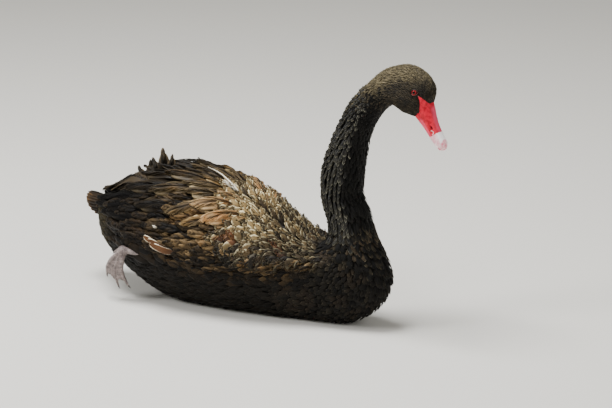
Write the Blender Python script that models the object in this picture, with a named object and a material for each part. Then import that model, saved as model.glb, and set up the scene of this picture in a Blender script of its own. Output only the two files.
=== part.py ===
"""Black swan afloat, as a life-size still model that rests on its belly.

Metres, +Z up. The bird faces +X and its left side is +Y. The origin lies on the floor,
under the body, in the flat on which the belly rests.
"""
import math
import random

import bpy
import numpy as np

# Clearance that two touching pieces keep, and how deep a root sinks into what it grows from.
GAP = 0.0003

# The middle line from the rump along the body, up the neck and down to the bill's root.
# Each station: x, z, half width, reach to the back or nape, reach to the belly or throat.
STATIONS = (
    (-0.255, 0.141, 0.040, 0.012, 0.026),
    (-0.240, 0.139, 0.060, 0.020, 0.047),
    (-0.206, 0.133, 0.084, 0.038, 0.075),
    (-0.152, 0.125, 0.100, 0.078, 0.103),
    (-0.080, 0.116, 0.111, 0.100, 0.122),
    (0.000, 0.109, 0.110, 0.097, 0.117),
    (0.070, 0.103, 0.100, 0.067, 0.111),
    (0.130, 0.094, 0.084, 0.036, 0.101),
    (0.179, 0.093, 0.067, 0.036, 0.096),
    (0.218, 0.106, 0.056, 0.038, 0.1085),
    (0.243, 0.130, 0.047, 0.037, 0.097),
    (0.2525, 0.157, 0.0405, 0.039, 0.0405),
    (0.2475, 0.187, 0.037, 0.038, 0.0325),
    (0.2355, 0.219, 0.036, 0.036, 0.0300),
    (0.2325, 0.256, 0.0345, 0.0345, 0.0350),
    (0.242, 0.303, 0.0325, 0.030, 0.033),
    (0.2565, 0.340, 0.030, 0.027, 0.0272),
    (0.2755, 0.373, 0.028, 0.0275, 0.0250),
    (0.300, 0.401, 0.0270, 0.0265, 0.0250),
    (0.330, 0.414, 0.0260, 0.0392, 0.0235),
    (0.355, 0.4115, 0.0262, 0.0500, 0.0285),
    (0.3735, 0.401, 0.0238, 0.0463, 0.0275),
    (0.3812, 0.3938, 0.0200, 0.0380, 0.0225),
    (0.3880, 0.3870, 0.0155, 0.0222, 0.0165),
)
# Stations between which lie the torso, two lengths of neck and the head, and the rings of each.
LENGTH_ENDS = (0, 11, 14, 18, 23)
LENGTH_RINGS = (28, 11, 13, 14)
SECTION_POWER = 2.2
SMOOTH_UNDER = math.radians(35.0)
AROUND_BODY, AROUND_NECK = 26, 20

# The folded wings' outer shape. Each station: x, z, half width, height above z.
WING_STATIONS = (
    (0.246, 0.118, 0.044, 0.010),
    (0.232, 0.117, 0.050, 0.013),
    (0.200, 0.115, 0.064, 0.015),
    (0.150, 0.115, 0.085, 0.018),
    (0.100, 0.115, 0.102, 0.044),
    (0.050, 0.118, 0.114, 0.076),
    (0.000, 0.120, 0.121, 0.098),
    (-0.060, 0.125, 0.124, 0.104),
    (-0.110, 0.130, 0.119, 0.0975),
    (-0.160, 0.137, 0.108, 0.074),
    (-0.200, 0.143, 0.094, 0.042),
    (-0.240, 0.148, 0.076, 0.020),
    (-0.275, 0.150, 0.054, 0.008),
)
WING_POWER = 2.0
WING_LOW_DEG, WING_HIGH_DEG = -14.0, 87.5
BACK_GROOVE, GROOVE_WIDTH = 0.10, 0.024
PAD_REAR_X, PAD_TAPER, PAD_INNER = -0.200, 0.72, 0.80

VANE_THICK = 0.0011
# Feathers of the back that curl up: x of the root, degrees round the wing, reach to the rear, height of the tip.
RUFFLED_TIPS = ((-0.092, 76.0, 0.034, 0.029), (-0.078, 66.0, 0.030, 0.018), (-0.124, 74.0, 0.036, 0.020))
LEFT_RUFFLE = 0.35

# The bill's own axis runs from the line's last station; its rings lie parallel to the head's end.
BILL_PITCH = math.radians(-57.0)
# Each station of the bill: place along the axis, half width, top of the ridge, line of the
# mouth, underside. The upper bill reaches past the lower one by the nail's overhang.
BILL_ROWS = (
    (0.0000, 0.0145, 0.0222, -0.0062, -0.0165),
    (0.0110, 0.0141, 0.0184, -0.0056, -0.0143),
    (0.0230, 0.0134, 0.0138, -0.0050, -0.0121),
    (0.0350, 0.0132, 0.0106, -0.0045, -0.0104),
    (0.0480, 0.0134, 0.0090, -0.0041, -0.0088),
    (0.0590, 0.0128, 0.0086, -0.0036, -0.0064),
    (0.0670, 0.0106, 0.0078, -0.0032, -0.0048),
    (0.0730, 0.0060, 0.0048, -0.0034, -0.0040),
)
LOWER_BILL_LENGTH, LOWER_BILL_INSET = 0.0640, 0.93
NOSTRIL_PLACE, NOSTRIL_RISE, NOSTRIL_SIZE = 0.031, 0.0035, (0.0048, 0.0022, 0.0016)

EYE_CENTRE = (0.3818, 0.0192, 0.4200)
EYE_RADIUS, LID_RADIUS, LID_THICK = 0.0062, 0.0054, 0.0013


def clear_scene():
    for old in list(bpy.data.objects):
        bpy.data.objects.remove(old)


def material(name, colour, roughness, metallic=0.0):
    made = bpy.data.materials.new(name)
    made.use_nodes = True
    shader = made.node_tree.nodes["Principled BSDF"]
    shader.inputs["Base Color"].default_value = (*colour, 1.0)
    shader.inputs["Roughness"].default_value = roughness
    shader.inputs["Metallic"].default_value = metallic
    made.diffuse_color = (*colour, 1.0)
    return made


def mesh_object(name, points, faces, finish=None):
    mesh = bpy.data.meshes.new(name)
    mesh.from_pydata([tuple(map(float, p)) for p in points], [], [tuple(map(int, f)) for f in faces])
    made = bpy.data.objects.new(name, mesh)
    if finish:
        mesh.materials.append(finish)
    bpy.context.scene.collection.objects.link(made)
    return made


def smooth_rows(rows, place, wanted):
    """The rows read at the wanted places, by cubic pieces with averaged slopes."""
    rows = np.asarray(rows, float)
    place = np.asarray(place, float)
    wanted = np.atleast_1d(np.asarray(wanted, float))
    slope = np.gradient(rows, place, axis=0)
    span = np.clip(np.searchsorted(place, wanted, side="right") - 1, 0, len(rows) - 2)
    width = (place[span + 1] - place[span])[:, None]
    t = (wanted - place[span])[:, None] / width
    near = (1 + 2 * t) * (1 - t) ** 2 * rows[span] + t * (1 - t) ** 2 * width * slope[span]
    far = t * t * (3 - 2 * t) * rows[span + 1] + t * t * (t - 1) * width * slope[span + 1]
    return near + far


BODY_ROWS = np.array(STATIONS)
BODY_PLACE = np.concatenate([[0.0], np.cumsum(np.hypot(*np.diff(BODY_ROWS[:, :2], axis=0).T))])


def body_tangent(place, step=0.001):
    """The middle line's direction in x and z."""
    near = np.clip([place - step, place + step], 0.0, BODY_PLACE[-1])
    ends = smooth_rows(BODY_ROWS[:, :2], BODY_PLACE, near)
    return (ends[1] - ends[0]) / np.linalg.norm(ends[1] - ends[0])


def body_section(place, around, shift=0.0, grow=0.0, floor=True):
    """One ring of the body across its middle line, moved along it by shift and grown outwards."""
    x, z, half, up, down = smooth_rows(BODY_ROWS, BODY_PLACE, place)[0]
    tangent = body_tangent(place)
    normal = np.array([-tangent[1], tangent[0]])
    angle = (np.arange(around) + 0.5) * 2 * math.pi / around
    c, s = np.cos(angle), np.sin(angle)
    side = np.sign(c) * np.abs(c) ** (2 / SECTION_POWER) * (half + grow)
    rise = np.sign(s) * np.abs(s) ** (2 / SECTION_POWER)
    reach = np.where(rise > 0, up + grow, down + grow) * rise
    ring = np.stack([x + tangent[0] * shift + normal[0] * reach, side,
                     z + tangent[1] * shift + normal[1] * reach], 1)
    if floor:
        ring[:, 2] = np.maximum(ring[:, 2], -grow)
    return ring


def tube(name, rings, finish=None):
    """A closed tube through equal rings, each end closed by a fan to its middle."""
    rings = np.asarray(rings)
    count, around = rings.shape[:2]
    points = np.concatenate([rings.reshape(-1, 3), [rings[0].mean(0)], [rings[-1].mean(0)]])
    faces = []
    for i in range(count - 1):
        for j in range(around):
            k = (j + 1) % around
            a, b, c, d = i * around + j, i * around + k, (i + 1) * around + k, (i + 1) * around + j
            faces += [(a, b, c), (a, c, d)]
    for j in range(around):
        k = (j + 1) % around
        faces.append((count * around, k, j))
        faces.append((count * around + 1, (count - 1) * around + j, (count - 1) * around + k))
    made = mesh_object(name, points, faces, finish)
    turn_outwards(made)
    return made


def turn_outwards(made):
    """Turns all faces of a closed shape round if its volume comes out negative."""
    mesh = made.data
    mesh.calc_loop_triangles()
    volume = 0.0
    for t in mesh.loop_triangles:
        a, b, c = (mesh.vertices[i].co for i in t.vertices)
        volume += a.dot(b.cross(c))
    if volume < 0:
        mesh.flip_normals()


def length_places(index):
    """The places of the rings of one of the body's lengths."""
    first, last = LENGTH_ENDS[index], LENGTH_ENDS[index + 1]
    even = np.linspace(first, last, LENGTH_RINGS[index])
    return np.interp(even, np.arange(len(BODY_PLACE)), BODY_PLACE)


def body_length(name, index, around, finish):
    """One length of the body, parted from its neighbours by the gap."""
    places = length_places(index)
    shifts = np.zeros(len(places))
    shifts[0] = GAP / 2 if index else 0.0
    shifts[-1] = -GAP / 2
    return tube(name, [body_section(p, around, s) for p, s in zip(places, shifts)], finish)


def body_keep_out():
    """The torso and lower neck grown by the gap, to cut from what lies on them."""
    places = np.concatenate([length_places(0), length_places(1)[1:]])
    return tube("body_space", [body_section(p, AROUND_BODY, grow=GAP) for p in places])


def baked(made):
    """Applies an object's modifiers."""
    graph = bpy.context.evaluated_depsgraph_get()
    mesh = bpy.data.meshes.new_from_object(made.evaluated_get(graph))
    made.modifiers.clear()
    made.data = mesh
    return made


def boolean(made, others, operation):
    """Joins or cuts with several closed shapes at once, which are then removed."""
    group = bpy.data.collections.new("pieces")
    for other in others:
        for linked in list(other.users_collection):
            linked.objects.unlink(other)
        group.objects.link(other)
    bpy.context.scene.collection.children.link(group)
    cut = made.modifiers.new(operation, "BOOLEAN")
    cut.operation = operation
    cut.operand_type = "COLLECTION"
    cut.collection = group
    cut.solver = "MANIFOLD"
    bpy.context.view_layer.update()
    baked(made)
    for other in others:
        bpy.data.objects.remove(other)
    bpy.data.collections.remove(group)
    return keep_largest(made)


def keep_largest(made):
    """Keeps the closed surface that has the greatest volume."""
    mesh = made.data
    count = len(mesh.vertices)
    ends = np.empty(len(mesh.edges) * 2, np.int32)
    mesh.edges.foreach_get("vertices", ends)
    ends = ends.reshape(-1, 2)
    label = np.arange(count)
    while True:
        low = np.minimum(label[ends[:, 0]], label[ends[:, 1]])
        fresh = label.copy()
        np.minimum.at(fresh, ends[:, 0], low)
        np.minimum.at(fresh, ends[:, 1], low)
        fresh = fresh[fresh]
        if (fresh == label).all():
            break
        label = fresh
    mesh.calc_loop_triangles()
    corners = np.empty(len(mesh.loop_triangles) * 3, np.int32)
    mesh.loop_triangles.foreach_get("vertices", corners)
    corners = corners.reshape(-1, 3)
    points = np.empty(count * 3, np.float32)
    mesh.vertices.foreach_get("co", points)
    points = points.reshape(-1, 3).astype(float)
    volume = np.einsum("ij,ij->i", points[corners[:, 0]],
                       np.cross(points[corners[:, 1]], points[corners[:, 2]]))
    owner = label[corners[:, 0]]
    totals = {k: volume[owner == k].sum() for k in np.unique(owner)}
    best = max(totals, key=totals.get)
    kept = corners[owner == best]
    used, again = np.unique(kept, return_inverse=True)
    fresh = bpy.data.meshes.new(made.name)
    fresh.from_pydata(points[used].tolist(), [], again.reshape(-1, 3).tolist())
    for slot in mesh.materials:
        fresh.materials.append(slot)
    made.data = fresh
    return made


def wing_point(x, degrees, lift=0.0):
    """A point on the left wing's outer shape, lift above it."""
    rows = np.array(WING_STATIONS)[::-1]
    z, half, up = smooth_rows(rows[:, 1:], rows[:, 0], x)[0]
    turn = math.radians(degrees)
    c, s = math.cos(turn), math.sin(turn)
    y = abs(c) ** (2 / WING_POWER) * half
    rise = math.copysign(abs(s) ** (2 / WING_POWER), s)
    height = up if s > 0 else half * 0.62
    dip = 1.0 - BACK_GROOVE * math.exp(-(y / GROOVE_WIDTH) ** 2)
    outward = np.array([0.0, c / max(half, 0.01), s / max(height, 0.01)])
    outward /= np.linalg.norm(outward)
    return np.array([x, y, z + rise * height * dip]) + outward * lift


def wing_outward(x, degrees):
    return wing_point(x, degrees, 1.0) - wing_point(x, degrees, 0.0)


def wing_pad(name, finish):
    """The folded wing's covered front part, sunk into the body so that the body can be cut from it."""
    rings = []
    for t in np.linspace(0.0, 1.0, 17):
        x = WING_STATIONS[0][0] + (PAD_REAR_X - WING_STATIONS[0][0]) * t
        narrow = max(0.0, t - PAD_TAPER) / (1.0 - PAD_TAPER)
        low = WING_LOW_DEG + 40.0 * narrow ** 2
        degrees = np.linspace(low, WING_HIGH_DEG, 10)
        outer = [wing_point(x, d, -0.004 * narrow) for d in degrees]
        middle = np.array([x, 0.0, wing_point(x, 0.0)[2]])
        inner = [middle + (p - middle) * PAD_INNER for p in outer[::-2]]
        rings.append(outer + inner)
    return tube(name, rings, finish)


def vane(name, line, outward, widths, thick=VANE_THICK, camber=0.12):
    """A feather's vane: a thin plate along a line, arched across, with its shaft raised a little."""
    line, outward = np.asarray(line), np.asarray(outward)
    along = np.gradient(line, axis=0)
    side = np.cross(along, outward)
    side /= np.linalg.norm(side, axis=1)[:, None]
    face = np.cross(side, along)
    face /= np.linalg.norm(face, axis=1)[:, None]
    widths = np.asarray(widths)[:, None]
    top = np.stack([line - side * widths - face * widths * camber,
                    line + face * thick * 0.4,
                    line + side * widths - face * widths * camber], 1)
    low = top - face[:, None] * thick
    count = len(line)
    points = np.concatenate([top, low], 1).reshape(-1, 3)
    faces = []
    for i in range(count - 1):
        a, b = i * 6, i * 6 + 6
        for j in (0, 1):
            faces += [(a + j, a + j + 1, b + j + 1), (a + j, b + j + 1, b + j)]
            faces += [(a + j + 3, b + j + 4, a + j + 4), (a + j + 3, b + j + 3, b + j + 4)]
        faces += [(a, b, b + 3), (a, b + 3, a + 3)]
        faces += [(a + 2, a + 5, b + 5), (a + 2, b + 5, b + 2)]
    e = (count - 1) * 6
    faces += [(0, 3, 4), (0, 4, 1), (1, 4, 5), (1, 5, 2)]
    faces += [(e, e + 4, e + 3), (e, e + 1, e + 4), (e + 1, e + 5, e + 4), (e + 1, e + 2, e + 5)]
    made = mesh_object(name, points, faces)
    turn_outwards(made)
    return made


def vane_widths(count, widest):
    """Half widths from root to tip: narrow, widest past the middle, blunt at the tip."""
    t = np.linspace(0.0, 1.0, count)
    return widest * np.clip(0.42 + 0.9 * t - 0.1 * t * t, 0, 1) * (1 - t ** 4 * 0.72)


def wing_vane(name, x0, deg0, x1, deg1, lifts, widest, count=5, curl=0.0):
    """A vane along the folded wing from (x0, deg0) to (x1, deg1), its heights read from lifts."""
    t = np.linspace(0.0, 1.0, count)
    lift = np.interp(t, np.linspace(0, 1, len(lifts)), lifts)
    line = [wing_point(x0 + (x1 - x0) * k, deg0 + (deg1 - deg0) * k, h) for k, h in zip(t, lift)]
    outward = [wing_outward(x0 + (x1 - x0) * k, deg0 + (deg1 - deg0) * k) for k in t]
    line = np.array(line)
    line[:, 2] += curl * t ** 3
    return vane(name, line, outward, vane_widths(count, widest))


def mirrored(points_object):
    mesh = points_object.data
    for v in mesh.vertices:
        v.co.y = -v.co.y
    mesh.flip_normals()


def wing(side, finish):
    """One folded wing: a pad, rows of coverts, the secondaries' long inner vanes and the flight tips."""
    draw = random.Random(7 if side > 0 else 11)
    name = "wing_left" if side > 0 else "wing_right"
    made = wing_pad(name, finish)
    vanes = []
    for k in range(4):
        x1 = -0.262 + 0.012 * k
        vanes.append(wing_vane("p", -0.120, 20 + 6 * k, x1, 30 + 11 * k,
                               (-0.006, -0.001, 0.0 + 0.0012 * k), 0.013, 4))
    for k in range(8):
        x0 = -0.030 - 0.010 * (k % 3)
        vanes.append(wing_vane("t", x0, 19 + 8.1 * k, x0 - draw.uniform(0.130, 0.165),
                               23 + 8.1 * k, (-0.006, 0.004, 0.005 + draw.uniform(0.0, 0.004)), 0.021, 5,
                               draw.uniform(-0.004, 0.003)))
    for k in range(7):
        x0 = 0.075 - 0.018 * (k % 5)
        vanes.append(wing_vane("s", x0, 84 - 6 * k, x0 - 0.085, 80 - 6 * k,
                               (-0.006, 0.002, 0.005 + draw.uniform(0, 0.004)), 0.017, 4))
    rise = 1.0 if side < 0 else LEFT_RUFFLE
    for x0, degrees, reach, height in RUFFLED_TIPS:
        vanes.append(wing_vane("r", x0, degrees, x0 - reach, degrees + 3,
                               (-0.006, 0.002, 0.010 * rise, height * rise), 0.0085, 5))
    for k in range(8):
        x0 = 0.165 - 0.033 * k
        vanes.append(wing_vane("c", x0, 18 - 0.5 * k, x0 - 0.060, 14 - 0.5 * k,
                               (-0.005, 0.002, 0.004), 0.0150, 4))
    boolean(made, vanes, "UNION")
    if side < 0:
        mirrored(made)
    return made


def centre_wall(side):
    """A block on the far side of the bird's middle plane."""
    far, near = -side * 0.3, side * GAP / 2
    x0, x1, z0, z1 = -0.5, 0.5, -0.1, 0.6
    points = [(x, y, z) for x in (x0, x1) for y in (far, near) for z in (z0, z1)]
    faces = [(0, 1, 3, 2), (4, 6, 7, 5), (0, 4, 5, 1), (2, 3, 7, 6), (0, 2, 6, 4), (1, 5, 7, 3)]
    made = mesh_object("wall", points, faces)
    turn_outwards(made)
    return made


def tail(finish):
    """A short fan of twelve vanes that grow from a flat core behind the rump."""
    first = body_section(BODY_PLACE[0], 16, shift=-GAP)
    middle = first.mean(0)
    rings = []
    for t in np.linspace(0.0, 1.0, 4):
        squeeze = np.array([0.0, 1.0 - 0.15 * t, 1.0 - 0.75 * t])
        rings.append(middle + (first - middle) * squeeze + np.array([-0.034 * t, 0.0, -0.002 * t])
                     + (first - middle) * np.array([1.0 - t, 0, 0]))
    made = tube("tail", rings, finish)
    vanes = []
    for k in range(12):
        place = (k - 5.5) / 5.5
        turn = math.radians(20.0) * place
        low = 0.0014 * abs(k - 5.5)
        root = middle + np.array([-0.010, 0.024 * place, 0.002 - low])
        length = 0.047 - 0.010 * place ** 2
        t = np.linspace(0, 1, 5)[:, None]
        line = root + t * length * np.array([-math.cos(turn), math.sin(turn), -0.10])
        line[:, 2] += 0.004 * t[:, 0] ** 2
        outward = np.tile([0.0, 0.28 * place, 1.0], (5, 1))
        vanes.append(vane("v", line, outward, vane_widths(5, 0.0125), camber=0.05))
    return boolean(made, vanes, "UNION")


BILL_ROOT = np.array([BODY_ROWS[-1, 0], 0.0, BODY_ROWS[-1, 1]])
BILL_AXIS = np.array([math.cos(BILL_PITCH), 0.0, math.sin(BILL_PITCH)])
BILL_FACE = body_tangent(BODY_PLACE[-1])
BILL_UP = np.array([-BILL_FACE[1], 0.0, BILL_FACE[0]])


def bill_ring(place, half, round_reach, mouth, around):
    """A D-shaped ring: arched to the ridge or the underside, flat at the mouth."""
    angle = np.arange(around) * math.pi / (around - 1)
    c, s = np.cos(angle), np.sin(angle)
    side = np.sign(c) * np.abs(c) ** 0.8 * half
    rise = mouth + np.abs(s) ** 0.9 * (round_reach - mouth)
    return BILL_ROOT + BILL_AXIS * place + side[:, None] * np.array([0, 1.0, 0]) + rise[:, None] * BILL_UP


def upper_bill(finish):
    rows = np.array(BILL_ROWS)
    places = np.linspace(GAP, rows[-1, 0], 13)
    half, top, mouth, _ = smooth_rows(rows[:, 1:], rows[:, 0], places).T
    rings = [bill_ring(*r, 11) for r in zip(places, half, top, mouth)]
    made = tube("bill_upper", rings, finish)
    cuts = []
    for side in (1, -1):
        bpy.ops.mesh.primitive_uv_sphere_add(segments=12, ring_count=8, radius=1.0)
        cut = bpy.context.object
        half = np.interp(NOSTRIL_PLACE, rows[:, 0], rows[:, 1])
        middle = BILL_ROOT + BILL_AXIS * NOSTRIL_PLACE + BILL_UP * NOSTRIL_RISE
        middle = middle + np.array([0, side * (half - 0.0012), 0])
        shape = np.array([v.co[:] for v in cut.data.vertices])
        shape = (middle + shape[:, :1] * NOSTRIL_SIZE[0] * BILL_AXIS
                 + shape[:, 1:2] * NOSTRIL_SIZE[1] * np.array([0, 1.0, 0])
                 + shape[:, 2:] * NOSTRIL_SIZE[2] * BILL_UP)
        cut.data.vertices.foreach_set("co", shape.astype(np.float32).ravel())
        turn_outwards(cut)
        cuts.append(cut)
    return boolean(made, cuts, "DIFFERENCE")


def lower_bill(finish):
    rows = np.array(BILL_ROWS)
    places = np.linspace(GAP, rows[-1, 0], 13)
    half, _, mouth, low = smooth_rows(rows[:, 1:], rows[:, 0], places).T
    rings = [bill_ring(*r, 9) for r in zip(places, half * LOWER_BILL_INSET, low, mouth - GAP)
             if r[0] < LOWER_BILL_LENGTH]
    return tube("bill_lower", rings, finish)


def ball(name, centre, radius, segments=14, rings=8, finish=None):
    bpy.ops.mesh.primitive_uv_sphere_add(segments=segments, ring_count=rings, radius=radius)
    made = bpy.context.object
    made.name = name
    for v in made.data.vertices:
        v.co += type(v.co)(centre)
    if finish:
        made.data.materials.append(finish)
    return made


def lid_ring(side):
    """The ring of the eyelids round the eye, a torus that faces outwards."""
    centre = np.array(EYE_CENTRE) * np.array([1, side, 1])
    outward = np.array([0.10, side, 0.16])
    outward /= np.linalg.norm(outward)
    across = np.cross(outward, [0, 0, 1.0])
    across /= np.linalg.norm(across)
    up = np.cross(across, outward)
    middle = centre + outward * 0.0032
    rings = []
    for a in np.arange(16) * 2 * math.pi / 16:
        radial = across * math.cos(a) * 1.12 + up * math.sin(a) * 0.92
        b = np.arange(6) * 2 * math.pi / 6
        rings.append(middle + radial * LID_RADIUS
                     + LID_THICK * (np.cos(b)[:, None] * radial + np.sin(b)[:, None] * outward))
    points = np.array(rings).reshape(-1, 3)
    faces = []
    for i in range(16):
        for j in range(6):
            a, b = i * 6 + j, i * 6 + (j + 1) % 6
            c, d = (i + 1) % 16 * 6 + (j + 1) % 6, (i + 1) % 16 * 6 + j
            faces += [(a, b, c), (a, c, d)]
    made = mesh_object("lid", points, faces)
    turn_outwards(made)
    return made


def head(finish):
    made = body_length("head", 3, AROUND_NECK, finish)
    boolean(made, [lid_ring(1), lid_ring(-1)], "UNION")
    sockets = [ball("socket", np.array(EYE_CENTRE) * np.array([1, s, 1]), EYE_RADIUS + GAP) for s in (1, -1)]
    return boolean(made, sockets, "DIFFERENCE")


def limb(name, points, radii, around=8, finish=None):
    """A closed tube of changing thickness along a line of points."""
    points = np.asarray(points, float)
    tangent = np.gradient(points, axis=0)
    tangent /= np.linalg.norm(tangent, axis=1)[:, None]
    side = np.cross(tangent, [0.13, 0.2, 1.0])
    side /= np.linalg.norm(side, axis=1)[:, None]
    up = np.cross(side, tangent)
    angle = np.arange(around) * 2 * math.pi / around
    rings = [p + r * (np.cos(angle)[:, None] * s + np.sin(angle)[:, None] * u)
             for p, r, s, u in zip(points, radii, side, up)]
    return tube(name, rings, finish)


# The foot's knuckle on the left side, where the toes leave the leg, and the leg's hidden upper end.
KNUCKLE = np.array([-0.1435, 0.116, 0.096])
HEEL = np.array([-0.070, 0.100, 0.090])
LEG_AXIS = (HEEL - KNUCKLE) / np.linalg.norm(HEEL - KNUCKLE)
KNUCKLE_REACH = 0.0065
# The three front toes: place from front to back, the way each hangs, its length.
TOES = ((-1.0, (-0.02, -0.16, -1.0), 0.064), (0.0, (-0.30, -0.20, -0.95), 0.074),
        (1.0, (-0.62, -0.20, -0.80), 0.068))


def leg(side, finish):
    name = "leg_left" if side > 0 else "leg_right"
    t = np.linspace(0, 1, 6)[:, None]
    line = HEEL + (KNUCKLE + LEG_AXIS * KNUCKLE_REACH - HEEL) * t
    made = limb(name, line, np.linspace(0.0075, 0.0058, 6), 10, finish)
    if side < 0:
        mirrored(made)
    return made


def foot(side, finish):
    """Three long toes folded back with their webs, and the small hind toe."""
    name = "foot_left" if side > 0 else "foot_right"
    start = KNUCKLE + LEG_AXIS * (KNUCKLE_REACH - GAP)
    made = limb(name, [start, start - LEG_AXIS * 0.003, KNUCKLE, KNUCKLE + [-0.006, 0.001, -0.001],
                       KNUCKLE + [-0.013, 0.0, -0.006]],
                (0.0056, 0.0066, 0.0082, 0.0084, 0.0056), 10, finish)
    pieces = []
    ends = []
    for spread, way, reach in TOES:
        t = np.linspace(0, 1, 6)[:, None]
        line = KNUCKLE + np.array([-0.003 - 0.004 * spread, 0.0, -0.003])
        line = line + t * reach * np.array(way) / np.linalg.norm(way)
        line = line + np.array([-0.006, 0.006, 0.0]) * np.sin(math.pi * t)
        pieces.append(limb("toe", line, 0.0044 - 0.0028 * t[:, 0] ** 2 + 0.0005 * np.sin(11 * t[:, 0]), 6))
        ends.append(line)
    for near, far in ((ends[0], ends[1]), (ends[1], ends[2])):
        pieces.append(web(near, far))
    hind = KNUCKLE + np.array([-0.006, -0.002, 0.0])
    pieces.append(limb("hind", [hind, hind + [-0.009, -0.001, -0.003], hind + [-0.019, -0.003, -0.009]],
                       (0.0032, 0.0028, 0.0014), 6))
    boolean(made, pieces, "UNION")
    if side < 0:
        mirrored(made)
    return made


def web(near, far):
    """The web between two toes, a thin sheet that sags between them."""
    rows = 6
    across = np.linspace(0, 1, 4)
    top = []
    for i in range(rows):
        a, b = near[i], far[i]
        sag = np.sin(math.pi * across)[:, None] * np.array([0.0, 0.0030, 0.0])
        top.append(a + (b - a) * across[:, None] + sag)
    top = np.array(top)
    thick = np.array([0.0, 0.0010, 0.0])
    low = top - thick
    count = rows * 4
    points = np.concatenate([top.reshape(-1, 3), low.reshape(-1, 3)])
    faces = []
    for i in range(rows - 1):
        for j in range(3):
            a, b, c, d = i * 4 + j, i * 4 + j + 1, i * 4 + j + 5, i * 4 + j + 4
            faces += [(a, b, c), (a, c, d), (a + count, c + count, b + count), (a + count, d + count, c + count)]
    rim = [j for j in range(4)] + [i * 4 + 3 for i in range(1, rows)]
    rim += [(rows - 1) * 4 + j for j in (2, 1, 0)] + [i * 4 for i in range(rows - 2, 0, -1)]
    for a, b in zip(rim, rim[1:] + rim[:1]):
        faces += [(a, a + count, b + count), (a, b + count, b)]
    made = mesh_object("web", points, faces)
    turn_outwards(made)
    return made


def main():
    clear_scene()
    feather = material("dark_feather", (0.030, 0.026, 0.024), 0.7)
    neck_black = material("neck_feather", (0.014, 0.013, 0.013), 0.75)
    bill_red = material("bill_red", (0.62, 0.035, 0.045), 0.38)
    grey_skin = material("foot_skin", (0.20, 0.19, 0.20), 0.55)
    iris = material("eye_red", (0.35, 0.02, 0.02), 0.12)

    body_length("torso", 0, AROUND_BODY, feather)
    body_length("neck_lower", 1, AROUND_NECK, neck_black)
    body_length("neck_upper", 2, AROUND_NECK, neck_black)
    head(neck_black)
    upper_bill(bill_red)
    lower_bill(bill_red)
    for side, name in ((1, "eye_left"), (-1, "eye_right")):
        ball(name, np.array(EYE_CENTRE) * np.array([1, side, 1]), EYE_RADIUS, finish=iris)
    tail(feather)
    for side in (1, -1):
        folded = wing(side, feather)
        boolean(folded, [body_keep_out(), centre_wall(side)], "DIFFERENCE")
        bone = leg(side, grey_skin)
        boolean(bone, [body_keep_out()], "DIFFERENCE")
        toes = foot(side, grey_skin)
        boolean(toes, [body_keep_out()], "DIFFERENCE")
    for made in bpy.data.objects:
        made.data.shade_smooth()
        made.data.set_sharp_from_angle(angle=SMOOTH_UNDER)


main()
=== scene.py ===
import math

import bpy
import numpy as np
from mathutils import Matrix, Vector


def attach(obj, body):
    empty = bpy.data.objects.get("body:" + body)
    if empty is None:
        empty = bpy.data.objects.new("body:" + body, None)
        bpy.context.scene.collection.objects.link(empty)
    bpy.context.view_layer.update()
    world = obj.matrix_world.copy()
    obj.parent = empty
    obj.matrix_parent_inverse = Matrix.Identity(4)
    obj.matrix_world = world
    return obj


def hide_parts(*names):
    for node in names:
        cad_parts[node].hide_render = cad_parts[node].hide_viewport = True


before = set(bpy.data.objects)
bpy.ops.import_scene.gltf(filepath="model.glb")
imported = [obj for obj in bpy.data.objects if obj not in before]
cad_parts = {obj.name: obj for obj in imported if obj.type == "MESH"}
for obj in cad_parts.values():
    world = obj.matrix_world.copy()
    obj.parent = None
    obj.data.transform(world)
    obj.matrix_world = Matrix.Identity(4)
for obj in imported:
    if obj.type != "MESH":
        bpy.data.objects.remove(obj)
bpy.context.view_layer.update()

draw = np.random.default_rng(21)


# The swan's middle line from rump to bill root, as in the solids:
# x, z, half width, reach to back or nape, reach to belly or throat.
bodyLine = {
    "stations": np.array((
        (-0.255, 0.141, 0.040, 0.012, 0.026), (-0.240, 0.139, 0.060, 0.020, 0.047),
        (-0.206, 0.133, 0.084, 0.038, 0.075), (-0.152, 0.125, 0.100, 0.078, 0.103),
        (-0.080, 0.116, 0.111, 0.100, 0.122), (0.000, 0.109, 0.110, 0.097, 0.117),
        (0.070, 0.103, 0.100, 0.067, 0.111), (0.130, 0.094, 0.084, 0.036, 0.101),
        (0.179, 0.093, 0.067, 0.036, 0.096), (0.218, 0.106, 0.056, 0.038, 0.1085),
        (0.243, 0.130, 0.047, 0.037, 0.097), (0.2525, 0.157, 0.0405, 0.039, 0.0405),
        (0.2475, 0.187, 0.037, 0.038, 0.0325), (0.2355, 0.219, 0.036, 0.036, 0.0300),
        (0.2325, 0.256, 0.0345, 0.0345, 0.0350), (0.242, 0.303, 0.0325, 0.030, 0.033),
        (0.2565, 0.340, 0.030, 0.027, 0.0272), (0.2755, 0.373, 0.028, 0.0275, 0.0250),
        (0.300, 0.401, 0.0270, 0.0265, 0.0250), (0.330, 0.414, 0.0260, 0.0392, 0.0235),
        (0.355, 0.4115, 0.0262, 0.0500, 0.0285), (0.3735, 0.401, 0.0238, 0.0463, 0.0275),
        (0.3812, 0.3938, 0.0200, 0.0380, 0.0225), (0.3880, 0.3870, 0.0155, 0.0222, 0.0165))),
    "power": 2.2,                  # of the rounded cross-section
    "neckBase": 11, "neckTop": 18,
    # how far the skin lies inside
    "bodyCoat": 0.0060, "breastCoat": 0.0036, "neckCoat": 0.0035, "headCoat": 0.0012,
}

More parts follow.
